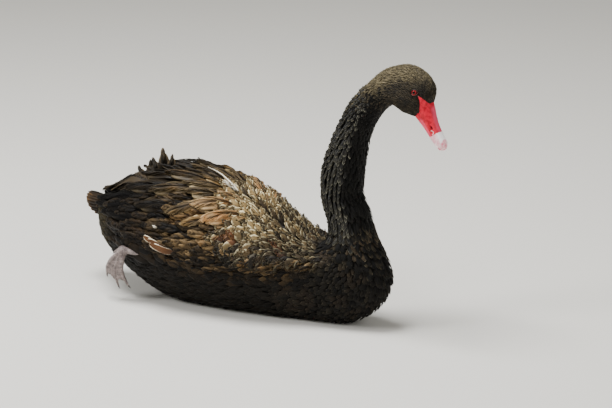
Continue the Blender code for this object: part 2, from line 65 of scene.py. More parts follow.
# The folded wings' outer shape: x, z, half width, height.
wingLine = {
    "stations": np.array((
        (-0.275, 0.150, 0.054, 0.008), (-0.240, 0.148, 0.076, 0.020), (-0.200, 0.143, 0.094, 0.042),
        (-0.160, 0.137, 0.108, 0.074), (-0.110, 0.130, 0.119, 0.0975), (-0.060, 0.125, 0.124, 0.104),
        (0.000, 0.120, 0.121, 0.098), (0.050, 0.118, 0.114, 0.076), (0.100, 0.115, 0.102, 0.044),
        (0.150, 0.115, 0.085, 0.018), (0.200, 0.115, 0.064, 0.015), (0.232, 0.117, 0.050, 0.013),
        (0.246, 0.118, 0.044, 0.010))),
    "groove": 0.10, "grooveWidth": 0.024,      # the hollow between the wings
    "under": 0.62,                             # depth below the line, as a share of the half width
    "taper": 0.5,                              # how fast it narrows behind the last station
}


def readRows(rows, place, wanted):
    # cubic Hermite through the rows: h00 p0 + h10 d m0 + h01 p1 + h11 d m1, slopes by differences
    wanted = np.asarray(wanted, float)
    flat = np.clip(wanted.ravel(), place[0], place[-1])
    slope = np.gradient(rows, place, axis=0)
    span = np.clip(np.searchsorted(place, flat, side="right") - 1, 0, len(rows) - 2)
    width = (place[span + 1] - place[span])[:, None]
    t = (flat - place[span])[:, None] / width
    read = ((1 + 2 * t) * (1 - t) ** 2 * rows[span] + t * (1 - t) ** 2 * width * slope[span]
            + t * t * (3 - 2 * t) * rows[span + 1] + t * t * (t - 1) * width * slope[span + 1])
    return read.reshape(wanted.shape + (rows.shape[1],))


bodyRows = bodyLine["stations"]
bodyPlace = np.concatenate([[0.0], np.cumsum(np.hypot(*np.diff(bodyRows[:, :2], axis=0).T))])
bodyEnd = bodyPlace[-1]
neckBasePlace = bodyPlace[bodyLine["neckBase"]]
neckTopPlace = bodyPlace[bodyLine["neckTop"]]


def signedPower(value, power):
    # sign(v) |v|^p
    return np.sign(value) * np.abs(value) ** power


def bodySurface(place, angle, lift):
    # centre(place) + side * |cos a|^(2/p) * (half + lift) + normal * |sin a|^(2/p) * (reach + lift),
    # and z is kept over the floor, which flattens the belly
    place, angle, lift = np.broadcast_arrays(place, angle, lift)
    row = readRows(bodyRows, bodyPlace, place)
    step = 0.001
    along = (readRows(bodyRows[:, :2], bodyPlace, place + step)
             - readRows(bodyRows[:, :2], bodyPlace, place - step))
    along /= np.linalg.norm(along, axis=-1)[..., None]
    c, s = np.cos(angle), np.sin(angle)
    side = signedPower(c, 2 / bodyLine["power"]) * (row[..., 2] + lift)
    reach = signedPower(s, 2 / bodyLine["power"]) * (np.where(s > 0, row[..., 3], row[..., 4]) + lift)
    point = np.stack([row[..., 0] - along[..., 1] * reach, side, row[..., 1] + along[..., 0] * reach], -1)
    point[..., 2] = np.maximum(point[..., 2], np.where(lift < 0, -0.8 * lift, 0.0004 + 0.15 * lift))
    return point


wingRows = wingLine["stations"]


def wingSurface(x, angle, lift):
    # y = half |cos a|, z = z(x) + height sin a (1 - groove exp(-(y / width)^2)), with under * half for the
    # height below, then lift outwards
    x, angle, lift = np.broadcast_arrays(x, angle, lift)
    row = readRows(wingRows[:, 1:], wingRows[:, 0], x)
    over = np.minimum(x - wingRows[0, 0], 0.0)          # carries on straight behind the last station
    c, s = np.cos(angle), np.sin(angle)
    half, up = row[..., 1] + over * wingLine["taper"], row[..., 2]
    y = np.abs(c) * half
    height = np.where(s > 0, up, half * wingLine["under"])
    dip = 1.0 - wingLine["groove"] * np.exp(-(y / wingLine["grooveWidth"]) ** 2)
    point = np.stack([x, y, row[..., 0] + s * height * dip], -1)
    outward = np.stack([np.zeros_like(c), c / np.maximum(half, 0.01), s / np.maximum(height, 0.01)], -1)
    outward /= np.linalg.norm(outward, axis=-1)[..., None]
    return point + outward * lift[..., None]


def otherSide(surface):
    def mirrored(u, v, lift):
        point = surface(u, v, lift)
        point[..., 1] *= -1
        return point
    return mirrored


# Puts a mesh, lamp or camera into the scene.
def addObject(name, data):
    made = bpy.data.objects.new(name, data)
    bpy.context.scene.collection.objects.link(made)
    return made


# Makes a mesh object from arrays of points, quads and larger closing faces, which stay flat.
def fillMesh(name, points, quads, caps=None):
    mesh = bpy.data.meshes.new(name)
    mesh.vertices.add(len(points))
    mesh.vertices.foreach_set("co", np.ascontiguousarray(points, np.float32).ravel())
    faces = [quads] if caps is None else [quads, caps]
    corners = np.concatenate([part.ravel() for part in faces]).astype(np.int32)
    sizes = np.concatenate([np.full(len(part), part.shape[1]) for part in faces])
    mesh.loops.add(len(corners))
    mesh.loops.foreach_set("vertex_index", corners)
    mesh.polygons.add(len(sizes))
    mesh.polygons.foreach_set("loop_start", (np.cumsum(sizes) - sizes).astype(np.int32))
    mesh.update(calc_edges=True)
    mesh.polygons.foreach_set("use_smooth", np.arange(len(sizes)) < len(quads))
    return addObject(name, mesh)


# Keeps an array of vectors with the points of a mesh.
def keepVectors(made, name, values):
    layer = made.data.attributes.new(name, "FLOAT_VECTOR", "POINT")
    layer.data.foreach_set("vector", np.ascontiguousarray(values, np.float32).ravel())


# Writes a UV map from one place in it per point.
def keepMap(made, name, perPoint):
    corners = np.empty(len(made.data.loops), np.int32)
    made.data.loops.foreach_get("vertex_index", corners)
    layer = made.data.uv_layers.new(name=name)
    layer.data.foreach_set("uv", np.ascontiguousarray(perPoint[corners], np.float32).ravel())


def gridQuads(rows, columns, wrap):
    # the faces between rows of points, the last column joined to the first where they wrap
    i, j = np.meshgrid(np.arange(rows - 1), np.arange(columns if wrap else columns - 1), indexing="ij")
    k = (j + 1) % columns
    return np.stack([i * columns + j, i * columns + k, (i + 1) * columns + k, (i + 1) * columns + j],
                    -1).reshape(-1, 4)


def ringEnds(count, around):
    # the faces that close the two ends of a tube
    return np.stack([np.arange(around)[::-1], (count - 1) * around + np.arange(around)])


def insideOut(corners, middles):
    # whether the normals of the faces point towards their middles, all told
    facing = np.cross(corners[:, 1] - corners[:, 0], corners[:, 2] - corners[:, 0])
    return np.einsum("ij,ij->i", facing, corners.mean(1) - middles).sum() < 0


# A closed tube from rings of points (rings, around, 3), its ends closed by one face each.
def tubeMesh(name, rings, flip=False):
    count, around = rings.shape[:2]
    quads, caps = gridQuads(count, around, True), ringEnds(count, around)
    if flip:
        quads, caps = quads[:, ::-1], caps[:, ::-1]
    return fillMesh(name, rings.reshape(-1, 3), quads, caps)


# Several closed tubes with as many points around as one mesh, each turned outwards.
def tubesMesh(name, tubes, flip):
    points, quads, caps, start = [], [], [], 0
    for rings in tubes:
        count, around = rings.shape[:2]
        placed = rings * flip
        flat = placed.reshape(-1, 3)
        faces, ends = gridQuads(count, around, True), ringEnds(count, around)
        some = faces[:: max(1, len(faces) // 300)]
        if insideOut(flat[some], placed.mean(1)[some[:, 0] // around]):
            faces, ends = faces[:, ::-1], ends[:, ::-1]
        points.append(flat)
        quads.append(faces + start)
        caps.append(ends + start)
        start += len(flat)
    return fillMesh(name, np.concatenate(points), np.concatenate(quads), np.concatenate(caps))


def limbRings(line, radius, around=20, flat=1.0, square=(0.0, 1.0, 0.0)):
    # circles round a line of points: line + radius (cos a first + flat sin a second), first = way x square
    way = np.gradient(line, axis=0)
    way /= np.linalg.norm(way, axis=1)[:, None]
    first = np.cross(way, square)
    first /= np.linalg.norm(first, axis=1)[:, None]
    second = np.cross(way, first)
    turn = np.arange(around)[None, :, None] * 2 * math.pi / around
    circle = np.cos(turn) * first[:, None] + flat * np.sin(turn) * second[:, None]
    return line[:, None] + radius[:, None, None] * circle


def between(low, high, count):
    return draw.uniform(low, high, count)


def curve(*pairs):
    # straight between the given places, for a size that changes along the bird
    places, values = zip(*pairs)
    return lambda place: np.interp(place, places, values)


def heights(*parts):
    # the lift of root, middle and tip of each feather
    return np.stack(np.broadcast_arrays(*parts), -1)


def stretch(surface, u, v):
    # metres to a unit of u and of v, by central differences
    step = 1e-4
    alongU = np.linalg.norm(surface(u + step, v, 0.0) - surface(u - step, v, 0.0), axis=-1) / (2 * step)
    alongV = np.linalg.norm(surface(u, v + step, 0.0) - surface(u, v - step, 0.0), axis=-1) / (2 * step)
    return np.maximum(alongU, 0.3), np.maximum(alongV, 0.004)


def reader(roots, shape):
    # reads a value of every feather, its own or else the one that the shape gives to all
    def each(key):
        value = roots.get(key, shape.get(key, 0.0))
        return np.broadcast_to(np.asarray(value, float), (len(roots["u"]),))[:, None, None]
    return each


def readLift(lifts, where):
    # a (1 - p) + b p between neighbouring heights, p = 3 f^2 - 2 f^3 at the share f of the way
    knot = np.clip(where, 0, 1) * (lifts.shape[1] - 1)
    low = np.clip(knot.astype(int), 0, lifts.shape[1] - 2)
    part = knot - low
    part = part * part * (3 - 2 * part)
    row = np.arange(len(lifts))[:, None, None]
    return lifts[row, low] * (1 - part) + lifts[row, low + 1] * part


# The shape that the feathers of a tier share: rows and columns of points, where it is fullest, how blunt
# the tip is, the root's share of the width, thickness in metres; more as layVanes and strandRoots read it.
def vane(rows, columns, fullest, blunt, rootWidth, thick, **more):
    return dict(more, rows=rows, columns=columns, fullest=fullest, blunt=blunt, rootWidth=rootWidth,
                thick=thick)


# Lays feathers as thin closed vanes on a surface(u, v, lift). A vane runs from its root against u:
# u = u0 - L t cos(slant) / |dP/du|, v = v0 + (L t sin(slant) + bend t^2 + s w(t)) / |dP/dv|. Its height is
# lift(t) + camber w (1 - s^2) + rim s^4 t + curl t^3 + twist w s t
# + ripple s^2 t sin(2 pi (waves t + phase + 0.2 s)). Its half width w rises by a sine from the root to the
# fullest place and falls by sqrt(1 - f^blunt) to the tip.
def layVanes(name, surface, roots, shape, bakeBox):
    count, rows, columns = len(roots["u"]), shape["rows"], shape["columns"]
    t = np.linspace(0, 1, rows)[None, :, None]
    s = np.linspace(-1, 1, columns)[None, None, :]
    each = reader(roots, shape)
    u0, v0 = each("u"), each("v")
    scaleU, scaleV = stretch(surface, u0, v0)
    length, full, root = each("length"), shape["fullest"], shape["rootWidth"]
    rising = root + (1 - root) * np.sin(np.clip(t / full, 0, 1) * math.pi / 2)
    falling = np.sqrt(np.clip(1 - np.clip((t - full) / (1 - full), 0, 1) ** shape["blunt"], 0.0, 1))
    breadth = each("width") / 2 * np.where(t < full, rising, np.maximum(falling, 0.06))
    height = readLift(roots["lifts"], np.broadcast_to(t, (count, rows, 1)))
    wave = np.sin(2 * math.pi * (each("waves") * t + each("phase") + 0.2 * s))
    height = (height + each("curl") * t ** 3 + each("rim") * s ** 4 * t + each("twist") * breadth * s * t
              + each("ripple") * s * s * t * wave)
    arch = each("camber") * breadth * (1 - s * s)
    u = u0 - length * t * np.cos(each("slant")) / scaleU
    v = v0 + (length * t * np.sin(each("slant")) + each("bend") * t * t + breadth * s) / scaleV
    upper = surface(u, v, height + arch)
    lower = surface(u, v, height + arch * 0.8 - shape["thick"] * (1 - 0.6 * t))[:, :, 1:-1]
    points = np.concatenate([upper, lower[:, :, ::-1]], 2)
    around = points.shape[2]
    index = gridQuads(rows, around, True)
    base = (np.arange(count) * rows * around)[:, None, None]
    quads = (index[None] + base).reshape(-1, 4)
    caps = (ringEnds(rows, around)[None] + base).reshape(-1, around)
    flat = points.reshape(-1, 3)
    every = max(1, len(quads) // 4000)
    middles = np.repeat(points.reshape(count, -1, 3).mean(1), len(index), 0)[::every]
    if insideOut(flat[quads[::every, :3]], middles):
        quads, caps = quads[:, ::-1], caps[:, ::-1]
    made = fillMesh(name, flat, quads, caps)

    # what the materials read: place across and along with the tone, the same in metres, and the bake map,
    # where each feather has a small patch at its root's place
    ring = np.concatenate([np.arange(columns), np.arange(columns - 2, 0, -1)])
    sOut = np.broadcast_to(s[:, :, ring], (count, rows, around))
    tOut = np.broadcast_to(t, sOut.shape)
    tone = np.broadcast_to(each("tone"), sOut.shape)
    keepVectors(made, "form", np.stack([sOut, tOut, tone], -1).reshape(-1, 3))
    keepVectors(made, "vane", np.stack([breadth * sOut, length * tOut, tone * 3.0], -1).reshape(-1, 3))
    (uLow, uHigh), (vLow, vHigh) = bakeBox
    patchAcross, patchAlong = 0.0014, 0.0028
    mapU = 0.02 + 0.95 * ((v0 - vLow) % (2 * math.pi)) / (vHigh - vLow) + patchAcross * sOut
    mapV = 0.02 + 0.95 * (u0 - uLow) / (uHigh - uLow) + patchAlong * (0.5 - tOut)
    keepMap(made, "OFBake", np.clip(np.stack([mapU, mapV], -1), 0.001, 0.999).reshape(-1, 2))
    return made


# The strands of silky feathers: bundles of barbs that leave the shaft at t by an angle of
# open (wide - closing t), run W w(t) / sin(that angle), and bend back along the shaft as they go. A frayed
# rim is made of the same strands with only their outer part kept, from the share "inner" of their run.
strandForm = {"wide": 0.60, "closing": 0.38, "least": 0.22, "longest": 0.45, "bend": 0.20, "lift": 0.0005,
              "toneSpread": 0.20, "twistSpread": 0.12}


def strandRoots(surface, roots, shape, perSide):
    count = len(roots["u"])
    t = (np.arange(perSide) + 0.5) / perSide * 0.90 + 0.09
    t = t[None, :, None] + draw.uniform(-0.25, 0.25, (count, perSide, 2)) / perSide
    way = np.array((-1.0, 1.0))[None, None, :]
    each = reader(roots, shape)
    length, slant, half, inner = each("length"), each("slant"), each("width") / 2, shape.get("inner", 0.0)
    scaleU, scaleV = stretch(surface, each("u"), each("v"))
    angle = (shape.get("open", 1.0) * (strandForm["wide"] - strandForm["closing"] * t)
             * draw.uniform(0.8, 1.2, t.shape))
    full = np.sin(np.clip(t / 0.55, 0, 1) * math.pi / 2) * 0.45 + 0.55
    full = full * np.sqrt(np.clip(1.12 - np.clip((t - 0.5) / 0.5, 0, 1) ** 2.4, 0.1, 1))
    reach = half * full / np.sin(np.maximum(angle, strandForm["least"])) * draw.uniform(0.85, 1.15, t.shape)
    toTip = (length * (1.04 - t) + 0.0025) / np.cos(angle)
    reach = np.minimum(np.minimum(reach, length * strandForm["longest"]), toTip)
    u = each("u") - length * t * np.cos(slant) / scaleU
    v = each("v") + length * t * np.sin(slant) / scaleV
    u = u - inner * reach * np.cos(slant + way * angle) / scaleU
    v = v + inner * reach * np.sin(slant + way * angle) / scaleV

    def liftAt(where):
        return (readLift(roots["lifts"], where) + each("curl") * np.clip(where, 0, 1.3) ** 3
                + each("ripple") * np.sin(2 * math.pi * (each("waves") * where + each("phase"))) * where)

    start = (liftAt(t + inner * reach * np.cos(angle) / length) + strandForm["lift"]
             + each("rim") * inner ** 4 * t + shape.get("bow", 0.0) * half * (1 - inner ** 2))
    end = liftAt(t + reach * np.cos(angle) / length) + each("rim") * t - shape["droop"] * half
    end = end + draw.normal(0, 1, t.shape) * shape["stray"] + each("twist") * way * half
    middle = (start + end) / 2 + 0.10 * half
    tone = np.clip(each("tone") + draw.normal(0, strandForm["toneSpread"], t.shape), 0, 1)
    made = {"u": u, "v": v, "length": reach * (1 - inner) * shape.get("past", 1.0),
            "width": length / perSide * shape["cover"], "slant": slant + way * angle,
            "bend": -way * reach * strandForm["bend"], "tone": tone, "phase": draw.uniform(0, 1, t.shape),
            "twist": draw.normal(0, strandForm["twistSpread"], t.shape)}
    made = {key: np.broadcast_to(value, t.shape).ravel() for key, value in made.items()}
    made["lifts"] = heights(*(part.ravel() for part in np.broadcast_arrays(start, middle, end)))
    return made


# Roots spread evenly over a surface: rows across it, each filled at equal distances round its girth.
def spreadRoots(surface, uRange, vRange, gapU, gapV, loose=0.3):
    rowsU = np.arange(uRange[0], uRange[1], gapU)
    allU, allV = [], []
    fine = np.linspace(vRange[0], vRange[1], 241)
    for k, u in enumerate(rowsU):
        girth = surface(np.full_like(fine, u), fine, 0.0)
        run = np.concatenate([[0.0], np.cumsum(np.linalg.norm(np.diff(girth, axis=0), axis=1))])
        number = max(3, int(run[-1] / gapV))
        even = (np.arange(number) + (0.25 if k % 2 else 0.75)) / number * run[-1]
        even = even + draw.uniform(-loose, loose, number) * gapV
        allV.append(np.interp(even % run[-1], run, fine))
        allU.append(u + draw.uniform(-loose, loose, number) * gapU)
    return np.concatenate(allU), np.concatenate(allV)


def sign(operation, swapped=False):
    # what an arithmetic sign does with a value in a shader, which may stand on its right
    if swapped:
        return lambda self, other: self.work(operation, other, self)
    return lambda self, other: self.work(operation, self, other)


# One value in a shader. Arithmetic on it adds Math nodes; on a vector it adds Vector Math nodes.
class Wire:
    def __init__(self, finish, socket, vector=False):
        self.finish, self.socket, self.vector = finish, socket, vector

    def work(self, operation, first, second=None):
        vector = any(isinstance(v, Wire) and v.vector for v in (first, second))
        kind = "ShaderNodeVectorMath" if vector else "ShaderNodeMath"
        values = {0: first} if second is None else {0: first, 1: second}
        return self.finish.node(kind, {"operation": operation}, values, vector=vector)

    __add__, __radd__ = sign("ADD"), sign("ADD", True)
    __sub__, __rsub__ = sign("SUBTRACT"), sign("SUBTRACT", True)
    __mul__, __rmul__ = sign("MULTIPLY"), sign("MULTIPLY", True)
    __truediv__, __pow__ = sign("DIVIDE"), sign("POWER")
    least, most = sign("MINIMUM"), sign("MAXIMUM")

    def __abs__(self):
        return self.work("ABSOLUTE", self)

    # 0 below start, 1 above end, smooth between
    def rise(self, start, end):
        return self.finish.node("ShaderNodeMapRange", {"interpolation_type": "SMOOTHSTEP"},
                                {"Value": self, "From Min": start, "From Max": end}, "Result")


def tint(red, green, blue):
    # a screen colour, 0 to 255, as linear light
    value = np.array((red, green, blue)) / 255.0
    lit = np.where(value <= 0.04045, value / 12.92, ((value + 0.055) / 1.055) ** 2.4)
    return tuple(float(v) for v in lit) + (1.0,)


# A material in the making: its Principled shader and the nodes that feed it.
class Finish:
    def __init__(self, name, **fixed):
        self.material = bpy.data.materials.new(name)
        self.material.use_nodes = True
        self.tree = self.material.node_tree
        self.shader = self.tree.nodes["Principled BSDF"]
        for key, value in fixed.items():
            self.shader.inputs[key.replace("_", " ")].default_value = value

    # any node: its type, its settings, the values or links of its sockets, and the output that is read
    def node(self, kind, settings=None, values=None, output=0, vector=False):
        made = self.tree.nodes.new(kind)
        for key, value in (settings or {}).items():
            setattr(made, key, value)
        for key, value in (values or {}).items():
            socket = made.inputs[key]
            if isinstance(value, Wire):
                self.tree.links.new(value.socket, socket)
            elif socket.type == "VECTOR" and not isinstance(value, (tuple, list)):
                socket.default_value = (value, value, value)
            else:
                socket.default_value = value
        return Wire(self, made.outputs[output], vector)

    def place(self):
        return self.node("ShaderNodeTexCoord", output="Object", vector=True)

    def kept(self, name):
        return self.node("ShaderNodeAttribute", {"attribute_name": name}, output="Vector", vector=True)

    def apart(self, vector):
        split = self.node("ShaderNodeSeparateXYZ", None, {0: vector})
        return [Wire(self, socket) for socket in split.socket.node.outputs]

    def joined(self, x, y, z):
        return self.node("ShaderNodeCombineXYZ", None, {"X": x, "Y": y, "Z": z}, vector=True)

    def toward(self, vector, direction):
        return self.node("ShaderNodeVectorMath", {"operation": "DOT_PRODUCT"},
                         {0: vector, 1: tuple(float(d) for d in direction)}, "Value")

    def noise(self, vector, scale, detail=2.0, rough=0.5):
        return self.node("ShaderNodeTexNoise", None,
                         {"Vector": vector, "Scale": scale, "Detail": detail, "Roughness": rough}, "Fac")

    def blend(self, first, second, share):
        return self.node("ShaderNodeMix", {"data_type": "RGBA"}, {0: share, 6: first, 7: second}, 2)

    def feed(self, name, value):
        self.tree.links.new(value.socket, self.shader.inputs[name])

    def bump(self, height, strength, distance):
        values = {"Height": height, "Strength": strength, "Distance": distance}
        self.feed("Normal", self.node("ShaderNodeBump", None, values, "Normal"))

    def on(self, *made):
        for piece in made:
            piece.data.materials.clear()
            piece.data.materials.append(self.material)


# The looks of the feathers: dark, middle and fringe colour; how much edge and tip count for the fringe, where
# it starts and is full, its share; how light the root is under painted shade; roughness. Some have a warm
# patch, a shine, mottling, and painted shade towards the rear (x), under the back's long feathers, and
# towards the water line (z), below the lit top: from, to, what is left.
def plume(*values, **more):
    keys = ("dark", "middle", "fringe", "edge", "tip", "from", "to", "share", "root", "rough")
    return dict(zip(keys, values), **more)


featherLook = {
    "covert": plume((50, 40, 27), (162, 136, 91), (250, 234, 186), 0.66, 0.44, 0.40, 0.84, 1.15, 0.12, 0.62,
                    warm=(138, 98, 52), warmFrom=0.66, warmShare=0.35, rear=(-0.02, 0.12, 0.62),
                    low=(0.112, 0.200, 0.10)),
    "tan": plume((74, 55, 36), (164, 131, 88), (224, 192, 146), 0.35, 0.60, 0.36, 0.9, 0.9, 0.14, 0.50,
                 warm=(178, 120, 62), warmFrom=0.60, warmShare=0.5),
    "arch": plume((22, 17, 10), (88, 73, 50), (150, 128, 94), 0.35, 0.60, 0.40, 1.0, 0.9, 0.10, 0.55,
                  rear=(-0.17, -0.02, 0.45)),
    "rusty": plume((36, 22, 12), (92, 58, 33), (150, 112, 70), 0.50, 0.45, 0.45, 0.9, 0.7, 0.12, 0.60),
    "white": plume((150, 140, 122), (236, 228, 208), (255, 250, 236), 0.40, 0.50, 0.30, 0.8, 1.0, 0.5, 0.55),
    "edged": plume((60, 38, 20), (100, 64, 34), (246, 234, 204), 0.80, 0.34, 0.60, 0.90, 1.1, 0.4, 0.60),
    "scapular": plume((30, 23, 13), (114, 95, 66), (214, 190, 144), 0.35, 0.62, 0.40, 1.0, 0.9, 0.10, 0.44,
                      warm=(160, 122, 69), warmFrom=0.62, warmShare=0.4, shine=0.12,
                      rear=(-0.11, 0.04, 0.13)),
    # the tertials' dark colours are partly their own and partly painted shade, for the hollow under the
    # arched feathers
    "tertial": plume((12, 10, 7), (50, 41, 25), (168, 144, 102), 0.40, 0.50, 0.50, 1.0, 0.85, 0.08, 0.62,
                     shine=0.07, rear=(-0.17, -0.05, 0.10)),
    "flank": plume((22, 17, 10), (116, 94, 63), (186, 156, 112), 0.45, 0.50, 0.44, 1.0, 0.8, 0.18, 0.56,
                   warm=(124, 86, 44), warmFrom=0.66, warmShare=0.35, low=(0.074, 0.135, 0.08), shine=0.10,
                   rear=(-0.11, 0.06, 0.10)),
    "body": plume((6, 5, 3), (18, 14, 9), (42, 35, 22), 0.45, 0.50, 0.50, 1.0, 0.6, 0.40, 0.66, shine=0.12),
    "breast": plume((6, 5, 4), (52, 47, 36), (138, 127, 103), 0.40, 0.45, 0.44, 1.0, 0.9, 0.4, 0.70,
                    shine=0.12, warm=(62, 50, 37), warmFrom=0.54, warmShare=0.6, low=(0.085, 0.160, 0.30),
                    mottle=0.4),
    "throat": plume((4, 4, 4), (14, 13, 11), (58, 55, 46), 0.30, 0.55, 0.50, 1.0, 0.6, 0.5, 0.66,
                    shine=0.12, mottle=0.4),
    # the neck's pale grey fringe is a painted glint along the black feathers' edges
    "neck": plume((5, 5, 4), (38, 36, 29), (172, 168, 148), 0.34, 0.62, 0.50, 1.0, 0.85, 0.06, 0.44,
                  shine=0.28, mottle=0.30),
    "crown": plume((72, 65, 47), (110, 99, 74), (142, 130, 98), 0.30, 0.60, 0.40, 0.9, 0.6, 0.55, 0.74,
                   mottle=0.22),
    "temple": plume((44, 39, 27), (86, 77, 56), (118, 107, 79), 0.30, 0.60, 0.40, 0.9, 0.6, 0.55, 0.72,
                    mottle=0.40),
    "face": plume((24, 21, 14), (64, 56, 42), (96, 86, 64), 0.30, 0.60, 0.40, 0.9, 0.7, 0.45, 0.66,
                  mottle=0.75),
    "flight": plume((18, 14, 12), (50, 40, 31), (206, 192, 164), 0.10, 0.90, 0.60, 0.80, 1.3, 0.3, 0.50),
    "tail": plume((16, 12, 8), (46, 35, 24), (122, 92, 58), 0.30, 0.70, 0.66, 1.0, 0.8, 0.30, 0.62,
                  shine=0.10),
    "vent": plume((15, 13, 8), (46, 40, 25), (96, 84, 54), 0.40, 0.50, 0.45, 1.0, 0.7, 0.30, 0.72,
                  shine=0.12),
}
featherLook["fray"] = dict(featherLook["covert"], root=0.65)
featherLook["rustyFray"] = dict(featherLook["rusty"], root=0.65)


# scales of the noise: along the barbs and across them, the broader streaks, warm patches, mottling; then the
# bump's depth and the near black of the painted shade at the roots
featherGrain = {"barbs": (700.0, 60.0), "streaks": (45.0, 210.0), "patches": 24.0, "mottles": 75.0,
                "bump": 0.0005, "rootShadeTint": tint(6, 5, 5)}


# Each feather is dark in the middle and paler towards its edge and tip, by edge s^2 + tip rise(t), broken
# by streaks that run slantwise out from the shaft, and each has its own tone; painted shade darkens its root
# and, in some looks, the rear and the water line.
def featherFinish(name, look):
    finish = Finish(name, Roughness=look["rough"], Specular_IOR_Level=look.get("shine", 0.20))
    across, along, tone = finish.apart(finish.kept("form"))
    wide, far, seed = finish.apart(finish.kept("vane"))
    along1, across1 = featherGrain["barbs"]
    along2, across2 = featherGrain["streaks"]
    barbs = finish.joined(seed * 7.0, (far - abs(wide) * 1.1) * along1, wide * across1)
    barbs = finish.noise(barbs, 1.0, 2.0)
    broad = finish.noise(finish.joined(seed * 9.0, far * along2, wide * across2), 1.0, 2.0)
    ragged = barbs * 0.5 + broad * 0.5 - 0.5
    pale = across * across * look["edge"] + along.rise(0.35, 1.0) * look["tip"] + ragged * 0.9
    pale = pale.rise(look["from"], look["to"]) * look["share"] * (0.4 + 0.7 * tone)
    colour = finish.blend(tint(*look["dark"]), tint(*look["middle"]),
                          (tone * 0.8 + ragged * 1.4 + 0.10).rise(0.0, 1.0))
    if "warm" in look:
        patch = finish.noise(finish.place(), featherGrain["patches"], 1.0) + (tone - 0.5) * 0.16
        patch = patch.rise(look["warmFrom"] - 0.05, look["warmFrom"] + 0.06)
        colour = finish.blend(colour, tint(*look["warm"]), patch * look["warmShare"])
    colour = finish.blend(colour, tint(*look["fringe"]), pale.least(1.0))
    # painted shade: each feather grows darker towards its root, where the one above overlaps it
    light = along.rise(0.0, 0.6) * (1 - look["root"]) + look["root"]
    x, y, z = finish.apart(finish.place())
    # painted shade: darker towards the rear (x), under the back's long feathers, and towards the water line
    # (z), below the lit top
    for key, place, scatter in (("rear", x, 0.05), ("low", z, 0.02)):
        if key in look:
            start, end, least = look[key]
            light = light * ((place + (tone - 0.5) * scatter).rise(start, end) * (1 - least) + least)
    if "mottle" in look:
        spots = finish.noise(finish.place(), featherGrain["mottles"], 3.0).rise(0.38, 0.66)
        light = light * (1 - spots * look["mottle"])
    # the painted shade is laid on here, drawing the colour towards the near black root tint
    finish.feed("Base Color", finish.blend(featherGrain["rootShadeTint"], colour, light))
    finish.bump(barbs * 0.7 + broad * 0.3, 0.40, featherGrain["bump"])
    return finish


featherFinishes = {kind: featherFinish(kind + "Feather", look) for kind, look in featherLook.items()}


# Puts one tier of feathers on a surface, dressed and riding with the bird.
def tier(name, kind, surface, u, v, shape, bakeBox, slot="body_feather", **each):
    roots = {"u": u, "v": v, "tone": draw.uniform(0, 1, len(u)), "phase": draw.uniform(0, 1, len(u))}
    roots.update(each)
    made = layVanes(name, surface, roots, shape, bakeBox)
    featherFinishes[kind].on(made)
    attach(made, "root")
    print(name, len(u), "feathers", len(made.data.polygons), "faces")
    return made


# body and head
eye = {"centre": np.array((0.3818, 0.0192, 0.4200)), "radius": 0.0062,
       "facing": np.array((0.10, 1.0, 0.16)),
       # the opening between the lids, and the head's form around it
       "half": 0.0051, "upper": 0.0042, "lower": 0.0041, "lids": 0.0094,
       "socket": 0.0056, "depth": 0.0066, "brow": 0.0008, "hollow": 0.0010}
eye["facing"] = eye["facing"] / np.linalg.norm(eye["facing"])
eyeAcross = np.cross((0, 0, 1.0), eye["facing"])      # towards the tail on the left side
eyeAcross /= np.linalg.norm(eyeAcross)
eyeUp = np.cross(eye["facing"], eyeAcross)

bill = {"pitch": math.radians(-57.0),
        # place along the bill, half width, ridge, line of the mouth, underside
        "rows": np.array((
            (0.0000, 0.0151, 0.0222, -0.0062, -0.0165), (0.0110, 0.0143, 0.0184, -0.0056, -0.0143),
            (0.0230, 0.0134, 0.0138, -0.0050, -0.0121), (0.0350, 0.0132, 0.0106, -0.0045, -0.0104),
            (0.0480, 0.0134, 0.0090, -0.0041, -0.0088), (0.0590, 0.0128, 0.0086, -0.0036, -0.0064),
            (0.0670, 0.0106, 0.0078, -0.0032, -0.0048), (0.0730, 0.0060, 0.0048, -0.0034, -0.0040))),
        "nostril": 0.031, "bandStart": 0.043, "nailStart": 0.057, "tipRound": 0.0045}
billRoot = np.array((bodyRows[-1, 0], 0.0, bodyRows[-1, 1]))
billAxis = np.array((math.cos(bill["pitch"]), 0.0, math.sin(bill["pitch"])))
billCross = np.array((-billAxis[2], 0.0, billAxis[0]))        # square to the axis, towards the ridge
endStep = bodyRows[-1, :2] - bodyRows[-2, :2]
endStep = endStep / np.linalg.norm(endStep)
billUp = np.array((-endStep[1], 0.0, endStep[0]))             # along the face of the head's end

# Edges of the bare skin in the bill's frame: height over the axis as c0 + c1 a + c2 a^2 at a along it.
lore = {"cheek": (-0.00066, -1.1135, -19.05), "brow": (0.01970, -0.1552, -12.97), "tip": 0.0046}


def edgeHeight(edge, a):
    return lore[edge][0] + lore[edge][1] * a + lore[edge][2] * a * a


# how far the skin lies inside the solids, along the middle line
coatDepth = curve((0.30, bodyLine["bodyCoat"]), (neckBasePlace - 0.06, bodyLine["breastCoat"]),
                  (neckBasePlace + 0.05, bodyLine["neckCoat"]), (neckTopPlace - 0.03, bodyLine["neckCoat"]),
                  (neckTopPlace + 0.03, bodyLine["headCoat"]), (bodyEnd - 0.01, 0.0008), (bodyEnd, 0.0003))


def loreShare(point):
    # 1 on the bare red skin between eye and bill: over the cheek's edge, under the brow's edge
    a, h = (point - billRoot) @ billAxis, (point - billRoot) @ billCross
    inside = np.minimum(h - edgeHeight("cheek", a), np.maximum(edgeHeight("brow", a) - h, a + lore["tip"]))
    return np.clip(inside / 0.0004 * 0.5 + 0.5, 0, 1)


